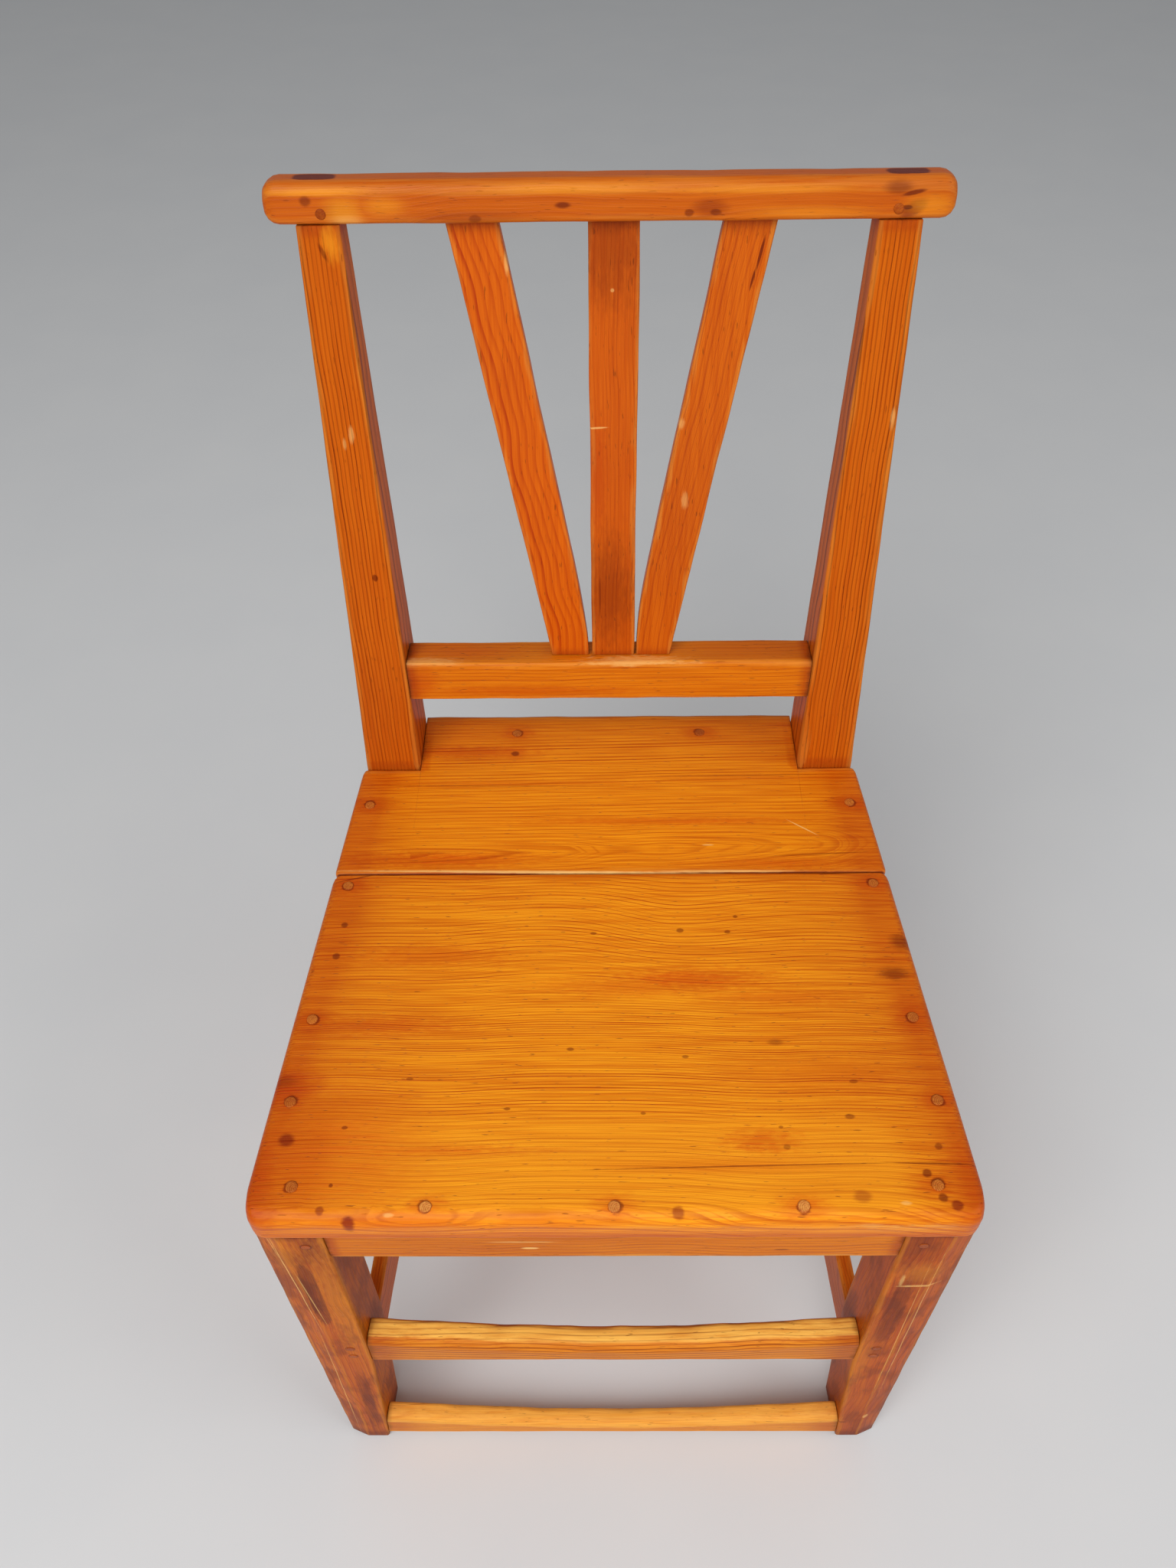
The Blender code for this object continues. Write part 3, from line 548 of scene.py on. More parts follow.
def leg_shadow(node):
    """The dark ring round a peg in the front of a leg."""
    x, _, z, wide = peg_box(node)
    return on_front("dark", x, z, wide * 1.22, wide * 1.22, 0.6, 0.2)


SEAT_PEGS = sorted(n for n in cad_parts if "seat_peg" in n)
LEG_PEGS = sorted(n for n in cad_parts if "leg_peg" in n)
CREST_PEGS = ["left_crest_peg", "right_crest_peg"]

SEAT_MARKS = [peg_shadow(n, k) for k, n in enumerate(SEAT_PEGS)] + [peg_stain(n) for n in SEAT_PEGS] + mark_rows(
    on_seat,
    dark=((-180.5, 203.9, 2.2, 2.2), (-182.7, 178.3, 2.5, 2.5), (-164.1, 18.7, 1.2, 1.2, 0.9),
          (194, 188, 7, 5.5, 0.75, 0.7, 1.2), (185, 163.1, 9, 4.2, 0.75, 0.7, 1.2), (191.6, 41.9, 2.2, 2.2, 0.7),
          (181.9, 25.2, 2.6, 2.6, 0.9), (188.4, 10.4, 2.6, 2.6, 0.85), (-71.2, 363.6, 3, 2.4, 0.9),
          (102.5, 112.1, 5, 2, 0.55, 0.5), (46.5, 198.2, 2.4, 1.8), (84.5, 209.4, 1.6, 1.2), (78.3, 196.7, 2, 1.4),
          (-11.7, 196, 2, 1.2, 0.7), (-26.2, 107.8, 2.2, 1.2), (45.4, 102.1, 2, 1.2, 0.7), (-64.1, 67, 2, 1),
          (18.1, 63.7, 1.5, 1, 0.7), (142, 61.2, 3, 1.6, 0.7), (147.6, 84.7, 2.6, 1.4, 0.6),
          (102.4, 41.7, 2.2, 1.6, 0.6), (-160.8, 54.8, 1.8, 1.2), (-125, 87.3, 2.2, 1, 0.7),
          (100, 54.4, 1.4, 1, 0.7), (80, 30, 90, 0.45, 0.85, 0.6, 0.9, -0.022),
          (187, 31.2, 26, 0.55, 0.85, 0.6, 0.9, 0.03), (-177, 244, 14, 0.6, 0.8, 0.6, 0.9, -0.25),
          (-202, 86, 6, 3.5, 0.45, 0.7, 1.4), (-90, 330.5, 70, 0.5, 0.55, 0.6, 0.9, 0.01),
          (100, 340, 60, 0.5, 0.5, 0.6, 0.9, -0.01), (150, 264, 30, 0.6, 0.6, 0.6, 0.9, -0.05)),
    red=((-194.5, 47, 4.5, 4, 0.8, 0.4), (-168.5, 3.6, 2.4, 2.4, 0.7), (-152.2, -3, 4, 3.8, 0.9),
         (36.5, 2.2, 3.5, 3.5, 0.7), (142.6, 11.4, 5, 3.6, 0.5, 0.4), (195.8, 5.8, 3.4, 3)),
    # The last pale row, thin along the right of the lip's front arris, is a rubbed edge with a painted highlight.
    pale=((-129.3, 1.3, 2.6, 1, 0.42, 0.5, 1.2), (166.9, 7.3, 2.8, 1.1, 0.42, 0.5, 1.2),
          (139, 288.4, 11, 0.5, 0.65, 0.4, 0.5, 0.62), (70, 272.5, 4, 0.7, 0.5), (165, -4, 40, 1.2, 0.4, 0.6, 1.6)),
    stain=((-71.2, 364, 10, 6, 0.7, 0.6), (50.7, 159, 40, 7.5, 1, 0.9, 2.6), (15, 154, 50, 6, 0.6, 0.9, 2.4),
           (88, 45.6, 18, 6, 0.9, 0.9, 3), (-185, 316, 8, 3, 0.8, 0.7), (182, 310, 6, 7, 0.8, 0.7),
           (-208, 20, 16, 34, 0.9, 0.9, 1.6), (209, 18, 14, 32, 0.8, 0.9, 1.6), (-168, 36, 46, 36, 0.85, 0.9, 1),
           (130, 90, 50, 12, 0.5, 0.9, 1.6), (-125, -4, 50, 8, 0.8, 0.8, 1.2), (-40, -2, 40, 6, 0.45, 0.8, 1.2),
           (-200, 81, 20, 14, 1, 0.8, 1.4), (192, 131, 12, 12, 0.8, 0.8, 1.4), (-196, 129, 7, 5, 0.7, 0.8),
           (-150, 125, 45, 6, 0.8, 0.9, 2.4), (60, 30, 60, 4, 0.5, 0.8), (-120, 178, 45, 7, 0.7, 0.9, 2.4),
           (-120, 40, 60, 3, 0.8, 0.9, 2.4), (110, 145, 40, 5, 0.6, 0.8, 2.2), (150, 90, 30, 5, 0.6, 0.8, 2),
           (120, 256, 50, 4, 0.8, 0.9, 2), (-120, 260, 55, 6, 1, 0.9, 2), (-80, 333, 90, 3, 0.5, 0.9, 2.2),
           (100, 338, 70, 2.8, 0.4, 0.9, 2.2), (40, 295, 80, 3, 0.8, 0.9, 2.2), (-100, 365, 40, 5, 0.9, 0.9, 2.2)),
) + [
    # Pale lines on the worn front arris of the rear board behind the seam, painted paler as highlight, then the dark
    # line in the seam.
    on_seat("pale", -0.06, SEAM + 0.0016, 0.11, 0.0009, 0.75, 0.6, 0.9, 0.012),
    on_seat("pale", 0.08, SEAM + 0.0014, 0.045, 0.0007, 0.6, 0.6, 0.9),
    on_seat("dark", 0.0, SEAM, 0.3, 0.0009, 0.95, 0.35, 0.3, 0.0, 1.0),
]
CREST_MARKS = mark_rows(
    on_back,
    # The long thin gold bands 832 to 833 mm up, on the top front arris, are painted highlights; the other gold patches
    # are wear.
    gold=((-148, 822, 9, 7.5, 0.55, 0.8), (-125, 825, 10, 4, 0.4, 0.8), (-160, 832.5, 26, 1.8, 0.6, 0.7),
          (-25, 833, 50, 2.2, 0.45, 0.8), (88, 832, 45, 2.2, 0.4, 0.8), (178, 823, 12, 5, 0.45, 0.8),
          (110, 820, 30, 3, 0.3, 0.8)),
    red=((-80, 819, 30, 3, 0.35, 0.8), (169, 821.4, 7.5, 3.6, 0.8, 0.4, 0.5, 0.5), (56, 823, 9, 4, 0.5, 0.6),
         (-150, 822, 8, 5, 0.4, 0.6)),
    dark=((-168, 828.1, 3, 2.6, 0.6, 0.4), (159.3, 832.1, 7, 3, 0.55, 0.6), (168, 829.7, 6, 1.2, 0.8, 0.4, 0.5, 0.2),
          (165, 822, 3, 1.2, 0.7), (-25.5, 824.8, 4.2, 1.6, 0.75, 0.4), (44.5, 820.2, 2.6, 1.8, 0.6),
          (59.3, 820.5, 3, 1.6, 0.55), (-74.6, 818, 3.4, 2.2, 0.45)),
    pale=((-146, 817, 8, 3, 0.25, 0.7),),
)
# The ends of the posts in the top of the crest.
CREST_MARKS += [Mark("dark", tuple(back_frame(x, CREST_TOP, POST_TOP_DEEP / 2)), (0.0118, 0.0056, 0.01), UP,
                     0.92, 0.1, 0.3, 0.0, 1.0) for x in (-0.1636, 0.1655)]
POST_MARKS = mark_rows(
    on_back,
    pale=((-160, 693, 1.6, 5, 0.36, 0.5, 1.4), (-165, 687, 1, 3.4, 0.3, 0.5), (174.5, 701, 1.2, 6, 0.36, 0.5, 1.4)),
    dark=((-157.2, 592, 1.8, 2.6, 0.7), (-162, 801, 1.2, 5, 0.6, 0.5, 0.5, 0.4)),
    gold=((-157, 806, 4, 8, 0.55, 0.8, 1.6),),
)
SPLAT_MARKS = mark_rows(
    on_splat,
    pale=((-59, 790.5, 1.2, 7, 0.42, 0.5, 1.4), (-7.2, 690.6, 6, 0.6, 0.6, 0.4, 0.5, 0.05),
          (2.1, 774.2, 1.1, 1.1, 0.4), (45, 692.7, 2, 3, 0.32, 0.6, 1.6), (49.4, 640.8, 1.8, 5, 0.32, 0.6, 1.6)),
    dark=((87, 794, 0.8, 10, 0.85, 0.4, 0.5, -0.2), (83.5, 780, 0.7, 6, 0.85, 0.4, 0.5, -0.2),
          (0, 575, 15, 42, 0.45, 0.8, 1.6), (0, 798, 18, 30, 0.42, 0.8, 1.8), (-6, 570, 0.9, 18, 0.7, 0.5),
          (10, 795, 5, 9, 0.4, 0.8)),
    stain=((-8, 660, 6, 40, 0.6, 0.8, 1.6),),
)
# Marks of the lower back rail: stains on its top, then marks on its front by how far they lie under its front arris.
RAIL_ARRIS = SEAT_HEIGHT + RAIL_TOP * math.cos(RAKE)
RAIL_MARKS = [Mark("stain", tuple(back_frame(x, RAIL_TOP, RAIL_THICK * 0.6)), (wide, 0.014, 0.006), UP, strength, 0.8,
                   1.2) for x, wide, strength in ((-0.105, 0.045, 0.7), (0.1, 0.05, 0.6), (0.0, 0.05, 0.5))]
RAIL_MARKS += [on_back(kind, x, RAIL_ARRIS - under, *look) for kind, x, under, *look in (
    ("pale", 0.02, 0.0008, 0.03, 0.0009, 0.45, 0.6, 2.6), ("pale", 0.012, 0.0022, 0.009, 0.0012, 0.45, 0.6, 2.0),
    ("pale", -0.13, 0.0006, 0.022, 0.0007, 0.3, 0.6, 2.6), ("stain", -0.135, 0.016, 0.012, 0.014, 0.7, 0.8, 1.6),
    ("stain", -0.06, 0.024, 0.06, 0.004, 0.7, 0.8, 1.6))]
LEG_MARKS = [leg_shadow(n) for n in LEG_PEGS] + mark_rows(
    on_front,
    dark=((-191.5, 308, 4.8, 50, 0.6, 0.1, 0.5, 0, 1), (-187, 92, 4.5, 62, 0.45, 0.25, 0.8, -0.037, 1),
          (184.2, 272, 6.2, 50, 0.48, 0.18, 0.7, 0, 1), (186, 378, 8, 16, 0.22, 0.3, 0.8, 0, 1),
          (183.3, 37.7, 3, 1.6, 0.6)),
    gold=((-178.5, 300, 9, 75, 0.26, 0.8, 2.4), (-200, 372, 8, 30, 0.22, 0.8, 2.4),
          (176, 180, 5, 60, 0.18, 0.8, 2.4), (190, 345, 12, 12, 0.25, 0.8, 2)),
    # The two long upright lines at 194.5 and 200 mm on the right leg follow its facet: worn edges with painted
    # highlight.
    pale=((-201, 327, 0.4, 70, 0.6, 0.5, 1, 0.041), (-203, 120, 0.4, 105, 0.45, 0.5, 1, -0.023),
          (-194.5, 300, 0.4, 40, 0.45, 0.5, 1, 0.06), (-205, 385, 0.3, 22, 0.45, 0.5, 1, 0.09),
          (192, 323.5, 12, 1.4, 0.55, 0.5, 1.2, 0.05), (200, 240, 0.4, 120, 0.45, 0.5, 1.2, 0.012),
          (194.5, 230, 0.3, 110, 0.4, 0.5, 1.2, 0.012), (199.5, 51.8, 2, 4, 0.5),
          (180, 332, 1.2, 8, 0.45, 0.5, 1.2)),
)
APRON_MARKS = mark_rows(
    on_front,
    pale=((-50, 383, 5, 1.2, 0.85), (-55, 392, 20, 0.8, 0.5)),
    dark=((100, 380, 4, 1, 0.6),),
)

# What the boards of the seat, the legs, the front stretchers and the larger pegs share.
SEAT_LOOK = dict(wobble=0.4, red=(0.56, 0.09, 0.002), soot=(0.2, 0.03, 0.003), rough=0.38, thread=0.85)
LEG_LOOK = dict(line=0.8, wobble=0.7, thread=0.9, broad=0.4, gloss=0.06)
STRETCHER_LOOK = dict(late_share=0.36, patch=0.18, rough=0.46, uneven=0.6, broad=0.2)
PEG_LOOK = dict(rub=0.0, fleck=0.6, least=0.6)

front_board_pine = pine(
    "front_board_pine", (0.97, 0.356, 0.01), (0.4, 0.02, 0.001), reaching("seat_front_board", SEAT_MARKS),
    late_share=0.4, patch=0.12, rub=0.4, pale=(0.97, 0.38, 0.014), grime=0.4, over=0.35, least=0.42, broad=0.1,
    uneven=0.5, fleck=0.6, **SEAT_LOOK)
rear_board_pine = pine(
    "rear_board_pine", (0.94, 0.33, 0.008), (0.42, 0.022, 0.001), reaching("seat_rear_board", SEAT_MARKS),
    late_share=0.44, patch=0.18, rub=0.15, grime=0.5, least=0.4, broad=0.15, **SEAT_LOOK)
crest_pine = pine(
    "crest_pine", (0.57, 0.12, 0.004), (0.36, 0.05, 0.002), reaching("crest_rail", CREST_MARKS), line=0.6, patch=0.26,
    rub=0.14, fleck=0.35, rough=0.36, red=(0.42, 0.06, 0.003), thread=0.4)
post_pine = pine(
    "post_pine", (0.6, 0.126, 0.004), (0.12, 0.008, 0.001), POST_MARKS, late_share=0.58, wobble=0.22,
    patch=0.3, rub=0.2, rough=0.42, least=0.6, between=0.0, broad=0.2, thread=0.5, gloss=0.05)
left_splat_pine = pine(
    "left_splat_pine", (0.66, 0.124, 0.002), (0.43, 0.04, 0.001), reaching("left_splat", SPLAT_MARKS),
    late_share=0.55, patch=0.16, rub=0.22, least=0.6, between=0.0, broad=0.15, thread=0.5)
centre_splat_pine = pine(
    "centre_splat_pine", (0.6, 0.11, 0.003), (0.36, 0.044, 0.002), reaching("centre_splat", SPLAT_MARKS), line=0.6,
    late_share=0.45, wobble=0.4, patch=0.45, rub=0.22, thread=0.5)
right_splat_pine = pine(
    "right_splat_pine", (0.62, 0.126, 0.003), (0.38, 0.044, 0.002), reaching("right_splat", SPLAT_MARKS),
    wobble=0.35, rub=0.24, least=0.5, thread=0.5)
rail_pine = pine(
    "rail_pine", (0.73, 0.215, 0.005), (0.4, 0.05, 0.002), RAIL_MARKS, wobble=0.35, pale=(0.82, 0.32, 0.04),
    thread=0.6)
left_leg_pine = pine(
    "left_leg_pine", (0.57, 0.138, 0.005), (0.2, 0.022, 0.001), reaching("left_front_leg", LEG_MARKS), patch=0.4,
    red=(0.16, 0.02, 0.002), rub=0.45, pale=(0.62, 0.22, 0.022), mottle=0.55, **LEG_LOOK)
right_leg_pine = pine(
    "right_leg_pine", (0.55, 0.116, 0.004), (0.21, 0.022, 0.001), reaching("right_front_leg", LEG_MARKS), patch=0.36,
    red=(0.16, 0.021, 0.002), rub=0.42, pale=(0.64, 0.22, 0.022), mottle=0.5, **LEG_LOOK)
apron_pine = pine(
    "apron_pine", (0.74, 0.22, 0.005), (0.36, 0.05, 0.002), APRON_MARKS, patch=0.24, rub=0.55,
    pale=(0.84, 0.36, 0.045), gloss=0.06)
upper_stretcher_pine = pine(
    "upper_stretcher_pine", (0.76, 0.26, 0.016), (0.22, 0.03, 0.002), wobble=0.16, over=0.9,
    red=(0.44, 0.09, 0.004), rub=0.96, pale=(1.0, 0.56, 0.105), soot=(0.22, 0.06, 0.008), least=0.55, between=0.1,
    **STRETCHER_LOOK)
lower_stretcher_pine = pine(
    "lower_stretcher_pine", (0.88, 0.33, 0.024), (0.4, 0.08, 0.004), line=0.8, wobble=0.22, over=0.35,
    red=(0.56, 0.135, 0.008), rub=0.7, pale=(0.95, 0.47, 0.085), soot=(0.24, 0.09, 0.02), least=0.35,
    **STRETCHER_LOOK)
side_pine = pine(
    "side_pine", (0.62, 0.132, 0.004), (0.3, 0.04, 0.002), wobble=0.4, patch=0.26, rub=0.25)
peg_pine = pine(
    "peg_pine", (0.66, 0.205, 0.026), (0.18, 0.028, 0.004), patch=0.8, red=(0.33, 0.056, 0.006), late_share=0.55,
    **PEG_LOOK)
lip_peg_pine = pine(
    "lip_peg_pine", (0.88, 0.38, 0.08), (0.3, 0.07, 0.014), patch=0.5, red=(0.5, 0.11, 0.015), late_share=0.5,
    **PEG_LOOK)
small_peg_pine = pine(
    "small_peg_pine", (0.46, 0.1, 0.005), (0.2, 0.028, 0.002), line=0.6, patch=0.6, rub=0.0, fleck=0.3,
    red=(0.22, 0.032, 0.002), grime=0.5)


# Seat.

def seat_half(d):
    """Half width of the seat: a straight line from the posts to the front lip."""
    share = np.clip((POST_SET - d) / (POST_SET + SEAT_LIP), 0.0, 1.0)
    return POST_OUT + SEAT_REAR_LIP + (SEAT_HALF - POST_OUT - SEAT_REAR_LIP) * share


def seat_place(core):
    """Seat points: across, the part outside the core is stretched to the slanted side. The top dips a little in long
    waves."""
    def place(a, b, l):
        far = np.maximum(np.abs(l) - core, 0.0) * (seat_half(a) - core) / (SEAT_HALF - core)
        x = np.sign(l) * (np.minimum(np.abs(l), core) + far)
        dip = 0.00012 * (ripple(x, 31, 0.19) + ripple(a, 32, 0.12) - 2)
        return floor_frame(x, a, b + dip * (b - SEAT_UNDER) / (SEAT_HEIGHT - SEAT_UNDER))
    return place


def seat_dirt_and_shade(a, b, l):
    """Dirt on the seat along the sides, in the seam and round the feet of the posts, darker towards the rear, and
    painted shade with some dirt over the lip, heaviest low on its front."""
    inside = np.maximum(seat_half(a) - np.abs(l) - 0.004, 0.0)
    side = 0.24 * np.exp(-inside / 0.014) + 0.17 * hump(inside, 0.0, 0.115)
    # Painted shade with some dirt over the lip's front, heaviest low on it above the apron.
    lip = 0.2 * ease(0.004, -0.008, a) + 0.3 * ease(0.013, 0.004, b - SEAT_UNDER) * ease(0.004, 0.0, a)
    seam = 0.95 * np.exp(-np.abs(a - SEAM) / 0.0016)
    beside_post = np.maximum(np.abs(np.abs(l) - 0.162) - 0.021, 0.0)
    corner = np.hypot(beside_post, np.maximum(POST_SET - a, 0.0))
    back = 0.22 * ease(0.325, 0.41, a)
    return np.maximum.reduce([side + back, seam, lip, 0.8 * np.exp(-corner / 0.004)])


def front_board_worn(a, b, l):
    """Worn share of the front board: a wide band behind the lip, fading to the sides and over the lip itself."""
    band = 1.05 * ease(0.115, 0.04, a) * (1 - 0.5 * ease(0.006, -0.006, a))
    return band * ease(0.0, 0.06, SEAT_HALF - np.abs(l))


def front_board_rings(a, b, l):
    """Ring count of the front board: close in the middle, wide at the lip and at the seam, with a swirl beside the
    seam."""
    swirl = 0.01 * hump(l, 0.045, 0.045) * hump(a, 0.205, 0.035)
    swirl = swirl - 0.006 * hump(l, -0.06, 0.07) * hump(a, 0.19, 0.04)
    d = a + swirl + 0.0026 * ripple(l, 41, 0.33) + 0.01 * l
    lip = 5.0 * np.sqrt(((a - 0.006) / 0.012) ** 2 + (0.35 + 2.4 * l) ** 2) * hump(a, -0.003, 0.016)
    return 330 * d + 12 * np.tanh((d - 0.112) / 0.04) + 150 * (b - SEAT_HEIGHT) + lip + 40


def rear_board_rings(a, b, l):
    """Ring count of the rear board: long tongues about a pith line that sinks to the right."""
    deep = 0.004 + 0.055 * (l + 0.1) + 0.002 * ripple(l, 51, 0.2)
    return np.hypot(a - 0.268 - 0.03 * l, deep) / 0.0032 + 90 * (b - SEAT_HEIGHT) + 30


def front_board_bounds(l):
    """The front edge turns back round the corners on a quarter circle."""
    past = np.clip(np.abs(l) - (SEAT_HALF - SEAT_CORNER), 0.0, SEAT_CORNER)
    lip = -SEAT_LIP + SEAT_CORNER - np.sqrt(SEAT_CORNER ** 2 - past ** 2)
    return lip, SEAM - FIT / 2 + 0 * l, SEAT_UNDER + 0 * l, SEAT_HEIGHT + 0 * l


def rear_board_bounds(l):
    """The rear edge steps forward where the posts stand."""
    rear = np.where(np.abs(l) < POST_IN - FIT, SEAT_REAR, POST_SET - FIT)
    return SEAM + FIT / 2 + 0 * l, rear, SEAT_UNDER + 0 * l, SEAT_HEIGHT + 0 * l


BOTH = np.array([[-1.0], [1.0]])
CORNER_STEPS = (BOTH * (SEAT_HALF - SEAT_CORNER * (1 - np.sin(np.linspace(0, 1.0, 9))))).reshape(-1)
NOTCH_STEPS = (BOTH * (POST_IN - FIT + np.array([-6e-4, -1e-5, 1e-5, 6e-4]))).reshape(-1)
bar("seat_front_board", (-SEAT_HALF, SEAT_HALF), 90, front_board_bounds, seat_place(0.0), front_board_rings,
    front_board_pine, 3, (0.004, 0.001, 0.0016, 0.0088), (0.0065, 0.0065), soil=seat_dirt_and_shade, dent=0.16,
    sides=26, arc=7, extra=CORNER_STEPS, worn=front_board_worn, edge_worn=0.55)
bar("seat_rear_board", (-SEAT_HALF, SEAT_HALF), 90, rear_board_bounds, seat_place(POST_IN - FIT), rear_board_rings,
    rear_board_pine, 7, (0.001, 0.003, 0.005, 0.0018), (0.006, 0.006), soil=seat_dirt_and_shade, wave=0.0,
    dent=0.1, sides=26, arc=6, extra=NOTCH_STEPS)


# Legs, posts and back.

def leg_width(z):
    """Width of a front leg: it grows in a straight line from the foot to the upper stretcher."""
    return LEG_FOOT_WIDE + (LEG_WIDE - LEG_FOOT_WIDE) * np.minimum(1.0, z / LEG_TAPER)


def leg_in(z, d):
    """Inner face of a front leg: tapered in height and turned with the side of the seat."""
    return LEG_OUT - leg_width(z) - TURN * d


def front_leg(side, label, wood, seed):
    """Front leg along its height, turned with the seat side, with a shallow facet on its outer front arris, wide in
    the middle."""
    def radius(z):
        share = z / LEG_TOP
        wide = FACET_END + (FACET_MIDDLE - FACET_END) * 4 * share * (1 - share)
        reach = np.full((len(z), 4, 2), 0.0016)
        reach[:, 1] = np.stack([wide, FACET_DEEP + 0 * z], 1)
        return reach

    def soil(a, b, l):
        return np.maximum(0.8 * np.exp(-(LEG_TOP - l) / 0.005), 0.75 * np.exp(-l / 0.012))

    bar(label + "_front_leg", (0.0, LEG_TOP), 70, lambda z: (LEG_OUT - leg_width(z), LEG_OUT, 0.0, LEG_DEEP),
        lambda a, b, l: floor_frame(side * (a - TURN * b), b, l),
        growth(0.1, 0.1, 0.0028, 0.012, -0.01, 0.002, seed), wood, seed, radius, (0.002, 0.0005),
        (0, 1, 0, 0), soil, dent=0.04, extra=(LEG_TAPER,))


front_leg(-1, "left", left_leg_pine, 11)
front_leg(1, "right", right_leg_pine, 13)


def heel_share(z):
    """How far up a rear leg a height is: zero at the foot, one at the block under the apron."""
    return np.clip(z / BLOCK_LOW, 0.0, 1.0)


def heel_front(z):
    """Front of a rear leg below the seat: a straight line that runs back towards the foot."""
    return POST_SET + HEEL_BACK * (1 - heel_share(z))


def heel_in(z):
    """Inner side of a rear leg below the seat, which widens upwards."""
    return POST_OUT - HEEL_WIDE - (POST_WIDE - HEEL_WIDE) * heel_share(z)


def post_in(u):
    """Inner side of a post above the seat, a straight line up to the crest."""
    return POST_IN + (POST_TOP_IN - POST_IN) * u / CREST_UP


def post_out(u):
    """Outer side of a post above the seat, a straight line up to the crest."""
    return POST_OUT + (POST_TOP_OUT - POST_OUT) * u / CREST_UP


def rear_post(side, label, seed):
    """Post along its height: the upright frame below the seat turns smoothly into the raked frame above it."""
    def bounds(t):
        up = np.maximum(t - SEAT_HEIGHT, 0.0)
        below = t < SEAT_HEIGHT
        deep_low = HEEL_DEEP + (POST_DEEP - HEEL_DEEP) * heel_share(t)
        deep_high = POST_DEEP + (POST_TOP_DEEP - POST_DEEP) * up / CREST_UP
        return (np.where(below, heel_in(t), post_in(up)), np.where(below, POST_OUT, post_out(up)),
                0.0 * t, np.where(below, deep_low, deep_high))

    def place(a, b, l):
        share = ease(SEAT_HEIGHT - 0.02, SEAT_HEIGHT + 0.01, l)[..., None]
        low = floor_frame(side * a, heel_front(np.minimum(l, SEAT_HEIGHT)) + b, l)
        return low * (1 - share) + back_frame(side * a, l - SEAT_HEIGHT, b) * share

    def radius(t):
        worn = 0.0014 + 0.004 * hump(t, SEAT_HEIGHT + 0.012, 0.03) * (t > SEAT_HEIGHT - 0.002)
        plain = 0.0014 + 0 * t
        return np.stack([worn, plain + 0.0004, plain, plain], 1)

    def soil(a, b, l):
        foot = 0.8 * np.exp(-l / 0.012)
        beside = np.maximum(ease(0.005, 0.0, b), ease(0.005, 0.0, a - POST_IN))
        seat = 0.8 * np.exp(-np.abs(l - SEAT_HEIGHT) / 0.004) * beside
        head = 0.7 * np.exp(-(SEAT_HEIGHT + CREST_UP - l) / 0.005)
        from_rail = np.abs(np.abs(l - SEAT_HEIGHT - RAIL_UP - RAIL_HIGH / 2) - RAIL_HIGH / 2)
        rail = 0.8 * np.exp(-from_rail / 0.002) * (a < POST_IN + 0.006)
        return np.maximum.reduce([foot, seat, head, rail])

    bar(label + "_rear_post", (0.0, SEAT_HEIGHT + CREST_UP - FIT), 130, bounds, place,
        growth(-0.16, -0.05, 0.0026, 0.01, 0.0, 0.0006, seed), post_pine, seed, radius, (0.002, 0.0005),
        soil=soil)


rear_post(-1, "left", 17)
rear_post(1, "right", 19)

bar("crest_rail", (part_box("crest_rail")[0].x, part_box("crest_rail")[1].x), 120,
    lambda x: (0.0, POST_TOP_DEEP, CREST_UP, CREST_TOP), lambda a, b, l: back_frame(l, b, a),
    growth(-0.06, CREST_UP - 0.05, 0.0028, 0.004, 0.006, 0.0016, 23), crest_pine, 23,
    (0.003, 0.003, 0.0062, 0.0066), (0.0085, 0.0085), soil=lambda a, b, l: 0.0 * a, wave=0.00012, dent=0.1, arc=6,
    draw=(0.6, 0.6, 0.85, 0.85))


def lower_back_rail():
    """Rail between the posts: its ends follow the inner faces of the posts, and its top front arris is rubbed
    round."""
    half = post_in(RAIL_UP)
    bar("lower_back_rail", (-half, half), 70, lambda x: (0.0, RAIL_THICK, RAIL_UP, RAIL_TOP),
        lambda a, b, l: back_frame(l / half * (post_in(b) - FIT), b, a),
        growth(-0.06, RAIL_UP - 0.07, 0.0026, 0.004, 0.006, 0.001, 27), rail_pine, 27,
        (0.0018, 0.0012, 0.0016, 0.0026), (0.0006, 0.0006), wave=0.00022)


lower_back_rail()


def fan_sides(side, u):
    """Inner and outer side of a splat at a height: straight in the middle. An outer splat leans, and its inner side
    bends on a hyperbola to run beside the middle one at the foot. The middle and right ones stand a little to the
    right."""
    low, high = RAIL_TOP + FIT, CREST_UP - FIT
    half = SPLAT_WIDE / 2
    if side == 0:
        return FAN_SHIFT - half + 0 * u, FAN_SHIFT + half + 0 * u
    lean = (FAN_TOP - FAN_FOOT) / (high - low)
    across = SPLAT_WIDE * math.sqrt(1 + lean * lean)
    beside = half + FAN_GAP + side * FAN_SHIFT
    outer = FAN_FOOT + max(side, 0) * FAN_SHIFT + lean * (u - low)
    gap = outer - across - beside
    inner = beside + (gap + np.sqrt(gap * gap + FAN_BEND * FAN_BEND)) / 2
    return inner, outer


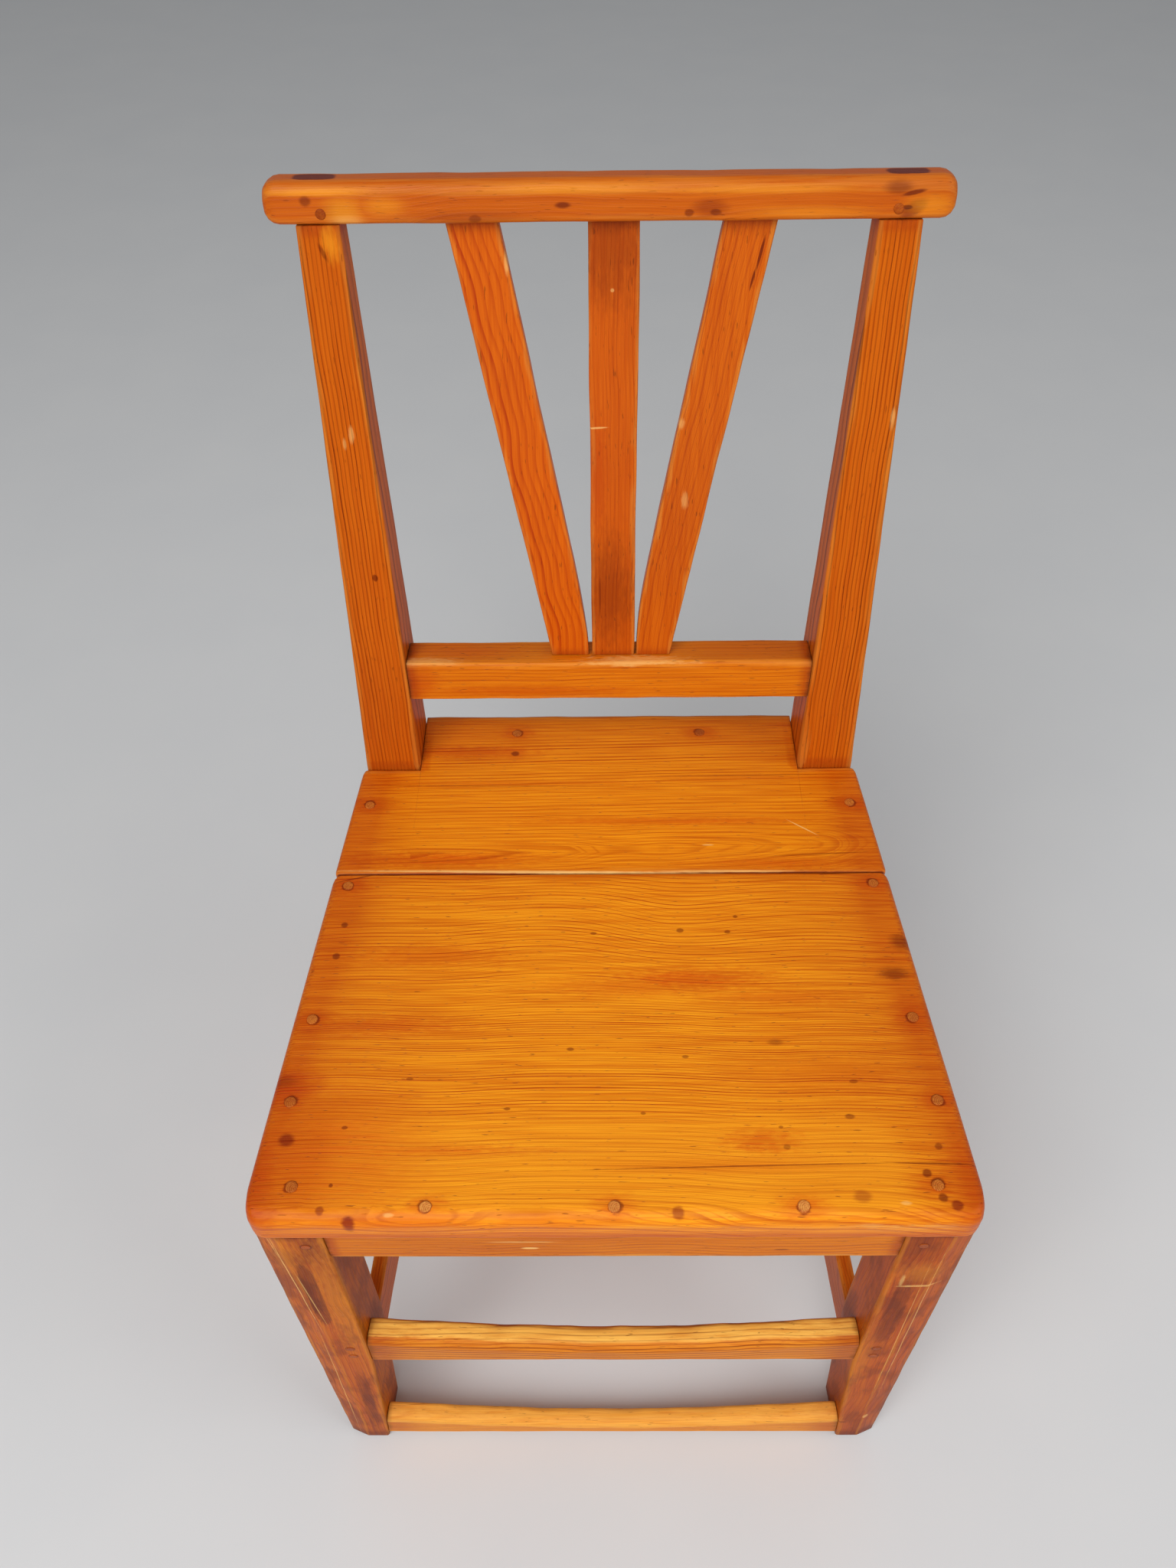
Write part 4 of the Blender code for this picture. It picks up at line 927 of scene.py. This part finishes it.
def splat(side, label, wood, rings, seed):
    """Splat along its height between rail and crest, as thin as a lath, with its arrises eased."""
    def soil(a, b, l):
        return np.maximum(0.85 * np.exp(-(l - RAIL_TOP) / 0.003), 0.6 * np.exp(-(CREST_UP - l) / 0.004))

    turn = side or 1
    bar(label + "_splat", (RAIL_TOP + FIT, CREST_UP - FIT), 90,
        lambda u: (*fan_sides(side, u), SPLAT_SET, SPLAT_SET + SPLAT_THICK),
        lambda a, b, l: back_frame(turn * a, l, b),
        lambda a, b, l: rings(a - sum(fan_sides(side, l)) / 2, b - SPLAT_SET, l), wood, seed, 0.0012,
        (0.0004, 0.0004), soil=soil, wave=0.0003 if side == 0 else 0.0002, dent=0.5)


splat(-1, "left", left_splat_pine, growth(0.05, -0.012, 0.005, 0.004, 0.006, 0.003, 63), 29)
splat(0, "centre", centre_splat_pine, growth(0.15, -0.02, 0.0024, 0.0, 0.0, 0.001, 31), 31)
splat(1, "right", right_splat_pine, growth(-0.09, -0.03, 0.0033, 0.012, 0.0, 0.0012, 37), 37)


# Rails and stretchers.

def cross_bar(name, end, wood, rings, seed, wear=0.0, radius=0.0014, arc=4, bare=0.0, edge_worn=1.0):
    """Bar from side to side whose ends follow the faces of two uprights. A worn top sinks by a rounded parabola from
    its ends, and is rubbed pale from a line behind its front, with dirt left towards the ends."""
    low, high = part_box(name)
    near, far, bottom, top = low.y - FRONT, high.y - FRONT, low.z, high.z
    half = float(end((bottom + top) / 2, near))

    def bounds(x):
        share = np.clip(np.abs(x) / half, 0.0, 1.0)
        return near, far, bottom, top - wear * (1 - share ** 2) ** 1.2

    def worn(a, b, l):
        if not wear:
            return 0.0 * a
        return 0.98 * ease(0.0038, 0.0003, bounds(l)[3] - b) * ease(near + bare - 0.005, near + bare, a)

    def soil(a, b, l):
        away = half - np.abs(l)
        return np.maximum(np.exp(-away / 0.004), 0.62 * np.exp(-away / 0.02) if wear else 0.0)

    bar(name, (-half, half), 90, bounds, lambda a, b, l: floor_frame(l / half * (end(b, a) - FIT), a, b),
        lambda a, b, l: rings(a, b + 0.8 * (top - bounds(l)[3]), l), wood, seed, radius, (0.0006, 0.0006),
        soil=soil, arc=arc, worn=worn, edge_worn=edge_worn)


def worn_round(least, more):
    """Arrises of a front stretcher: each has its least radius at the ends and grows in a parabola to the middle."""
    def radius(x):
        share = np.clip(1 - (x / 0.17) ** 2, 0.0, 1.0)
        return np.array(least) + np.array(more) * share[:, None]
    return radius


def between_heels(z, d):
    """Inner faces of the rear legs, the same at every depth."""
    return heel_in(z)


cross_bar("front_seat_rail", leg_in, apron_pine,
          growth(-0.05, APRON_LOW - 0.05, 0.0032, 0.004, 0.008, 0.002, 43), 43)
cross_bar("upper_front_stretcher", leg_in, upper_stretcher_pine,
          growth(-0.05, 0.16, 0.0029, 0.004, 0.006, 0.0008, 47), 47, 0.015,
          worn_round((0.0022, 0.002, 0.0035, 0.0075), (0.0, 0.0, 0.003, 0.001)), 6, 0.0055, 0.25)
cross_bar("lower_front_stretcher", leg_in, lower_stretcher_pine,
          growth(-0.045, -0.02, 0.0021, -0.004, 0.006, 0.001, 53), 53, 0.017,
          worn_round((0.0018, 0.0018, 0.003, 0.0062), (0.0, 0.0, 0.002, 0.0006)), 6, 0.006)
cross_bar("rear_seat_rail", between_heels, apron_pine,
          growth(0.42, 0.3, 0.003, 0.02, 0.02, 0.003, 59), 59)
cross_bar("rear_stretcher", between_heels, side_pine,
          growth(0.3, 0.2, 0.0026, 0.02, 0.02, 0.003, 61), 61)


def side_bar(name, side, outer, turn, thick, far, wood, rings, seed):
    """Bar from a front leg to a rear post, turned with the side of the seat."""
    low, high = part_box(name)
    bottom, top = low.z, high.z
    near = LEG_DEEP + FIT

    def place(a, b, l):
        d = near + l * (far(b) - FIT - near)
        return floor_frame(side * (outer - turn * d + a), d, b)

    bar(name, (0.0, 1.0), 60, lambda l: (-thick, 0.0, bottom, top), place, lambda a, b, l: rings(a, b, 0.33 * l), wood,
        seed, 0.0014, soil=lambda a, b, l: np.exp(-np.minimum(l, 1 - l) / 0.012))


for side, label, seed in ((-1, "left", 67), (1, "right", 71)):
    side_bar(label + "_seat_rail", side, LEG_OUT - SIDE_SET, TURN, SIDE_RAIL_THICK, lambda z: POST_SET + 0 * z,
             apron_pine, growth(0.05, 0.3, 0.0032, 0.02, 0.03, 0.003, seed), seed)
    side_bar(label + "_side_stretcher", side, STRETCH_OUT, SIDE_STRETCH_TURN, SIDE_STRETCH_THICK, heel_front, side_pine,
             growth(-0.06, 0.17, 0.0021, 0.02, 0.02, 0.002, seed + 2), seed + 2)


# Pegs.

PEG_SIDES = 24


def wooden_peg(name, middle, across, upright, along, seed, wood):
    """Peg as an uneven ring carried along its axis: a straight shaft from its inner end, and a flat head with an eased
    rim. The first vector is the axis from the inner end to the head."""
    low, high = along
    share = np.linspace(0, 1, PEG_SIDES + 1)[:-1]
    radius = across * (1 + 0.05 * ripple(share, seed, 1.0))
    profile = np.array([(0.9, low), (1.0, low + 0.0006), (1.0, high - 0.0004), (0.95, high - 0.0001), (0.8, high),
                        (0.45, high), (0.12, high)])
    turn = np.linspace(0, 2 * np.pi, PEG_SIDES + 1)[:-1]
    axis, first, second = upright
    ring_a = profile[:, :1] * radius * np.cos(turn)
    ring_b = profile[:, :1] * radius * np.sin(turn)
    height = np.broadcast_to(profile[:, 1:], ring_a.shape)
    rows = (np.asarray(middle) + ring_a[..., None] * np.asarray(first) + ring_b[..., None] * np.asarray(second)
            + height[..., None] * np.asarray(axis))
    count = np.hypot(ring_a - 0.0022, ring_b + 0.0014) / 0.0011
    fibre = np.stack([ring_a, ring_b, height], -1) + log_place(seed)
    rim = 0.7 * ease(0.8, 1.0, profile[:, :1]) * (0.5 + 0.5 * np.cos(turn + seed)) + 0 * ring_a
    skin(name, rows, count, fibre, 0.0 * ring_a, rim, wood, (name,))


for number, name in enumerate(SEAT_PEGS):
    x, y, _, across = peg_box(name)
    low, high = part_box(name)
    wooden_peg(name, (x, y, 0.0), across, ((0, 0, 1), (1, 0, 0), (0, 1, 0)), (low.z, high.z), 101 + number,
               lip_peg_pine if name.startswith("front_") else peg_pine)
for number, name in enumerate(LEG_PEGS):
    x, _, z, across = peg_box(name)
    low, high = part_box(name)
    wooden_peg(name, (x, 0.0, z), across, ((0, -1, 0), (1, 0, 0), (0, 0, 1)), (-high.y, -low.y), 131 + number,
               small_peg_pine)
for number, name in enumerate(CREST_PEGS):
    x, _, _, across = peg_box(name)
    raked = ((0.0, -math.cos(RAKE), math.sin(RAKE)), (1, 0, 0), (0.0, math.sin(RAKE), math.cos(RAKE)))
    wooden_peg(name, back_frame(x, CREST_UP + CREST_PEG_UP, 0.0), across, raked, (-POST_TOP_DEEP * 0.8, FIT),
               151 + number, small_peg_pine)


# Floor, light and camera.

FLOOR_REACH, FLOOR_POINTS, FLOOR_DROP = 9.0, 7, 0.0006


def pale_floor():
    """Flat floor far wider than the chair, with a faint even mottle."""
    line = np.linspace(-FLOOR_REACH, FLOOR_REACH, FLOOR_POINTS)
    x, y = np.meshgrid(line, line)
    mesh = bpy.data.meshes.new("pale_floor")
    points = np.stack([x, y, np.full_like(x, -FLOOR_DROP)], -1).reshape(-1, 3)
    index = np.arange(x.size).reshape(x.shape)
    quads = np.stack([index[:-1, :-1], index[:-1, 1:], index[1:, 1:], index[1:, :-1]], -1).reshape(-1, 4)
    mesh.from_pydata(points.tolist(), [], quads.tolist())
    finish, net, shader = new_material("pale_floor")
    mottle = net.noise(net.node("TexCoord").outputs["Object"], (7, 7, 7), 4.0)
    net.feed(shader.inputs["Base Color"], net.mix(mottle, (0.66, 0.665, 0.67, 1), (0.7, 0.7, 0.695, 1)))
    shader.inputs["Roughness"].default_value = 0.85
    shader.inputs["Specular IOR Level"].default_value = 0.1
    mesh.materials.append(finish)
    floor = add_object("pale_floor", mesh)


LAMP_AIM = (0.0, 0.0, 0.4)


def soft_lamp(name, place, size, power):
    """Square lamp that looks from a place to the middle of the chair."""
    lamp = bpy.data.lights.new(name, "AREA")
    lamp.shape = "SQUARE"
    lamp.size = size
    lamp.energy = power
    holder = add_object(name, lamp)
    holder.location = place
    holder.rotation_euler = (Vector(LAMP_AIM) - Vector(place)).to_track_quat("-Z", "Y").to_euler()


pale_floor()
soft_lamp("front_lamp", (-0.9, -2.2, 2.7), 2.8, 104.0)
soft_lamp("side_lamp", (2.4, -1.0, 1.9), 2.2, 26.0)
world = bpy.data.worlds.new("studio")
bpy.context.scene.world = world
world.use_nodes = True
backdrop = next(n for n in world.node_tree.nodes if n.type == "BACKGROUND")
backdrop.inputs["Color"].default_value = (0.95, 0.97, 1.0, 1.0)
backdrop.inputs["Strength"].default_value = 0.28

# The camera stands in front of the chair above the seat and looks down at it, for a picture of 1536 by 2048.
LENS_PIXELS, PICTURE_WIDE, SENSOR_WIDE = 1650.31, 1536, 36.0
PITCH, YAW, ROLL = math.radians(47.7464), math.radians(-0.8041), math.radians(-0.9225)
CAMERA_PLACE = (-0.0068, FRONT - 0.3011, 1.1266)
camera = bpy.data.cameras.new("camera")
camera.sensor_fit = "HORIZONTAL"
camera.sensor_width = SENSOR_WIDE
camera.lens = LENS_PIXELS / PICTURE_WIDE * SENSOR_WIDE
camera.clip_end = 100.0
ahead = Vector((math.sin(YAW) * math.cos(PITCH), math.cos(YAW) * math.cos(PITCH), -math.sin(PITCH)))
right = Vector((math.cos(YAW), -math.sin(YAW), 0.0))
above = right.cross(ahead)
rolled_right = math.cos(ROLL) * right + math.sin(ROLL) * above
rolled_above = -math.sin(ROLL) * right + math.cos(ROLL) * above
stand = Matrix((rolled_right, rolled_above, -ahead)).transposed().to_4x4()
stand.translation = Vector(CAMERA_PLACE)
holder = add_object("camera", camera)
holder.matrix_world = stand
bpy.context.scene.camera = holder
bpy.context.scene.view_settings.view_transform = "Standard"
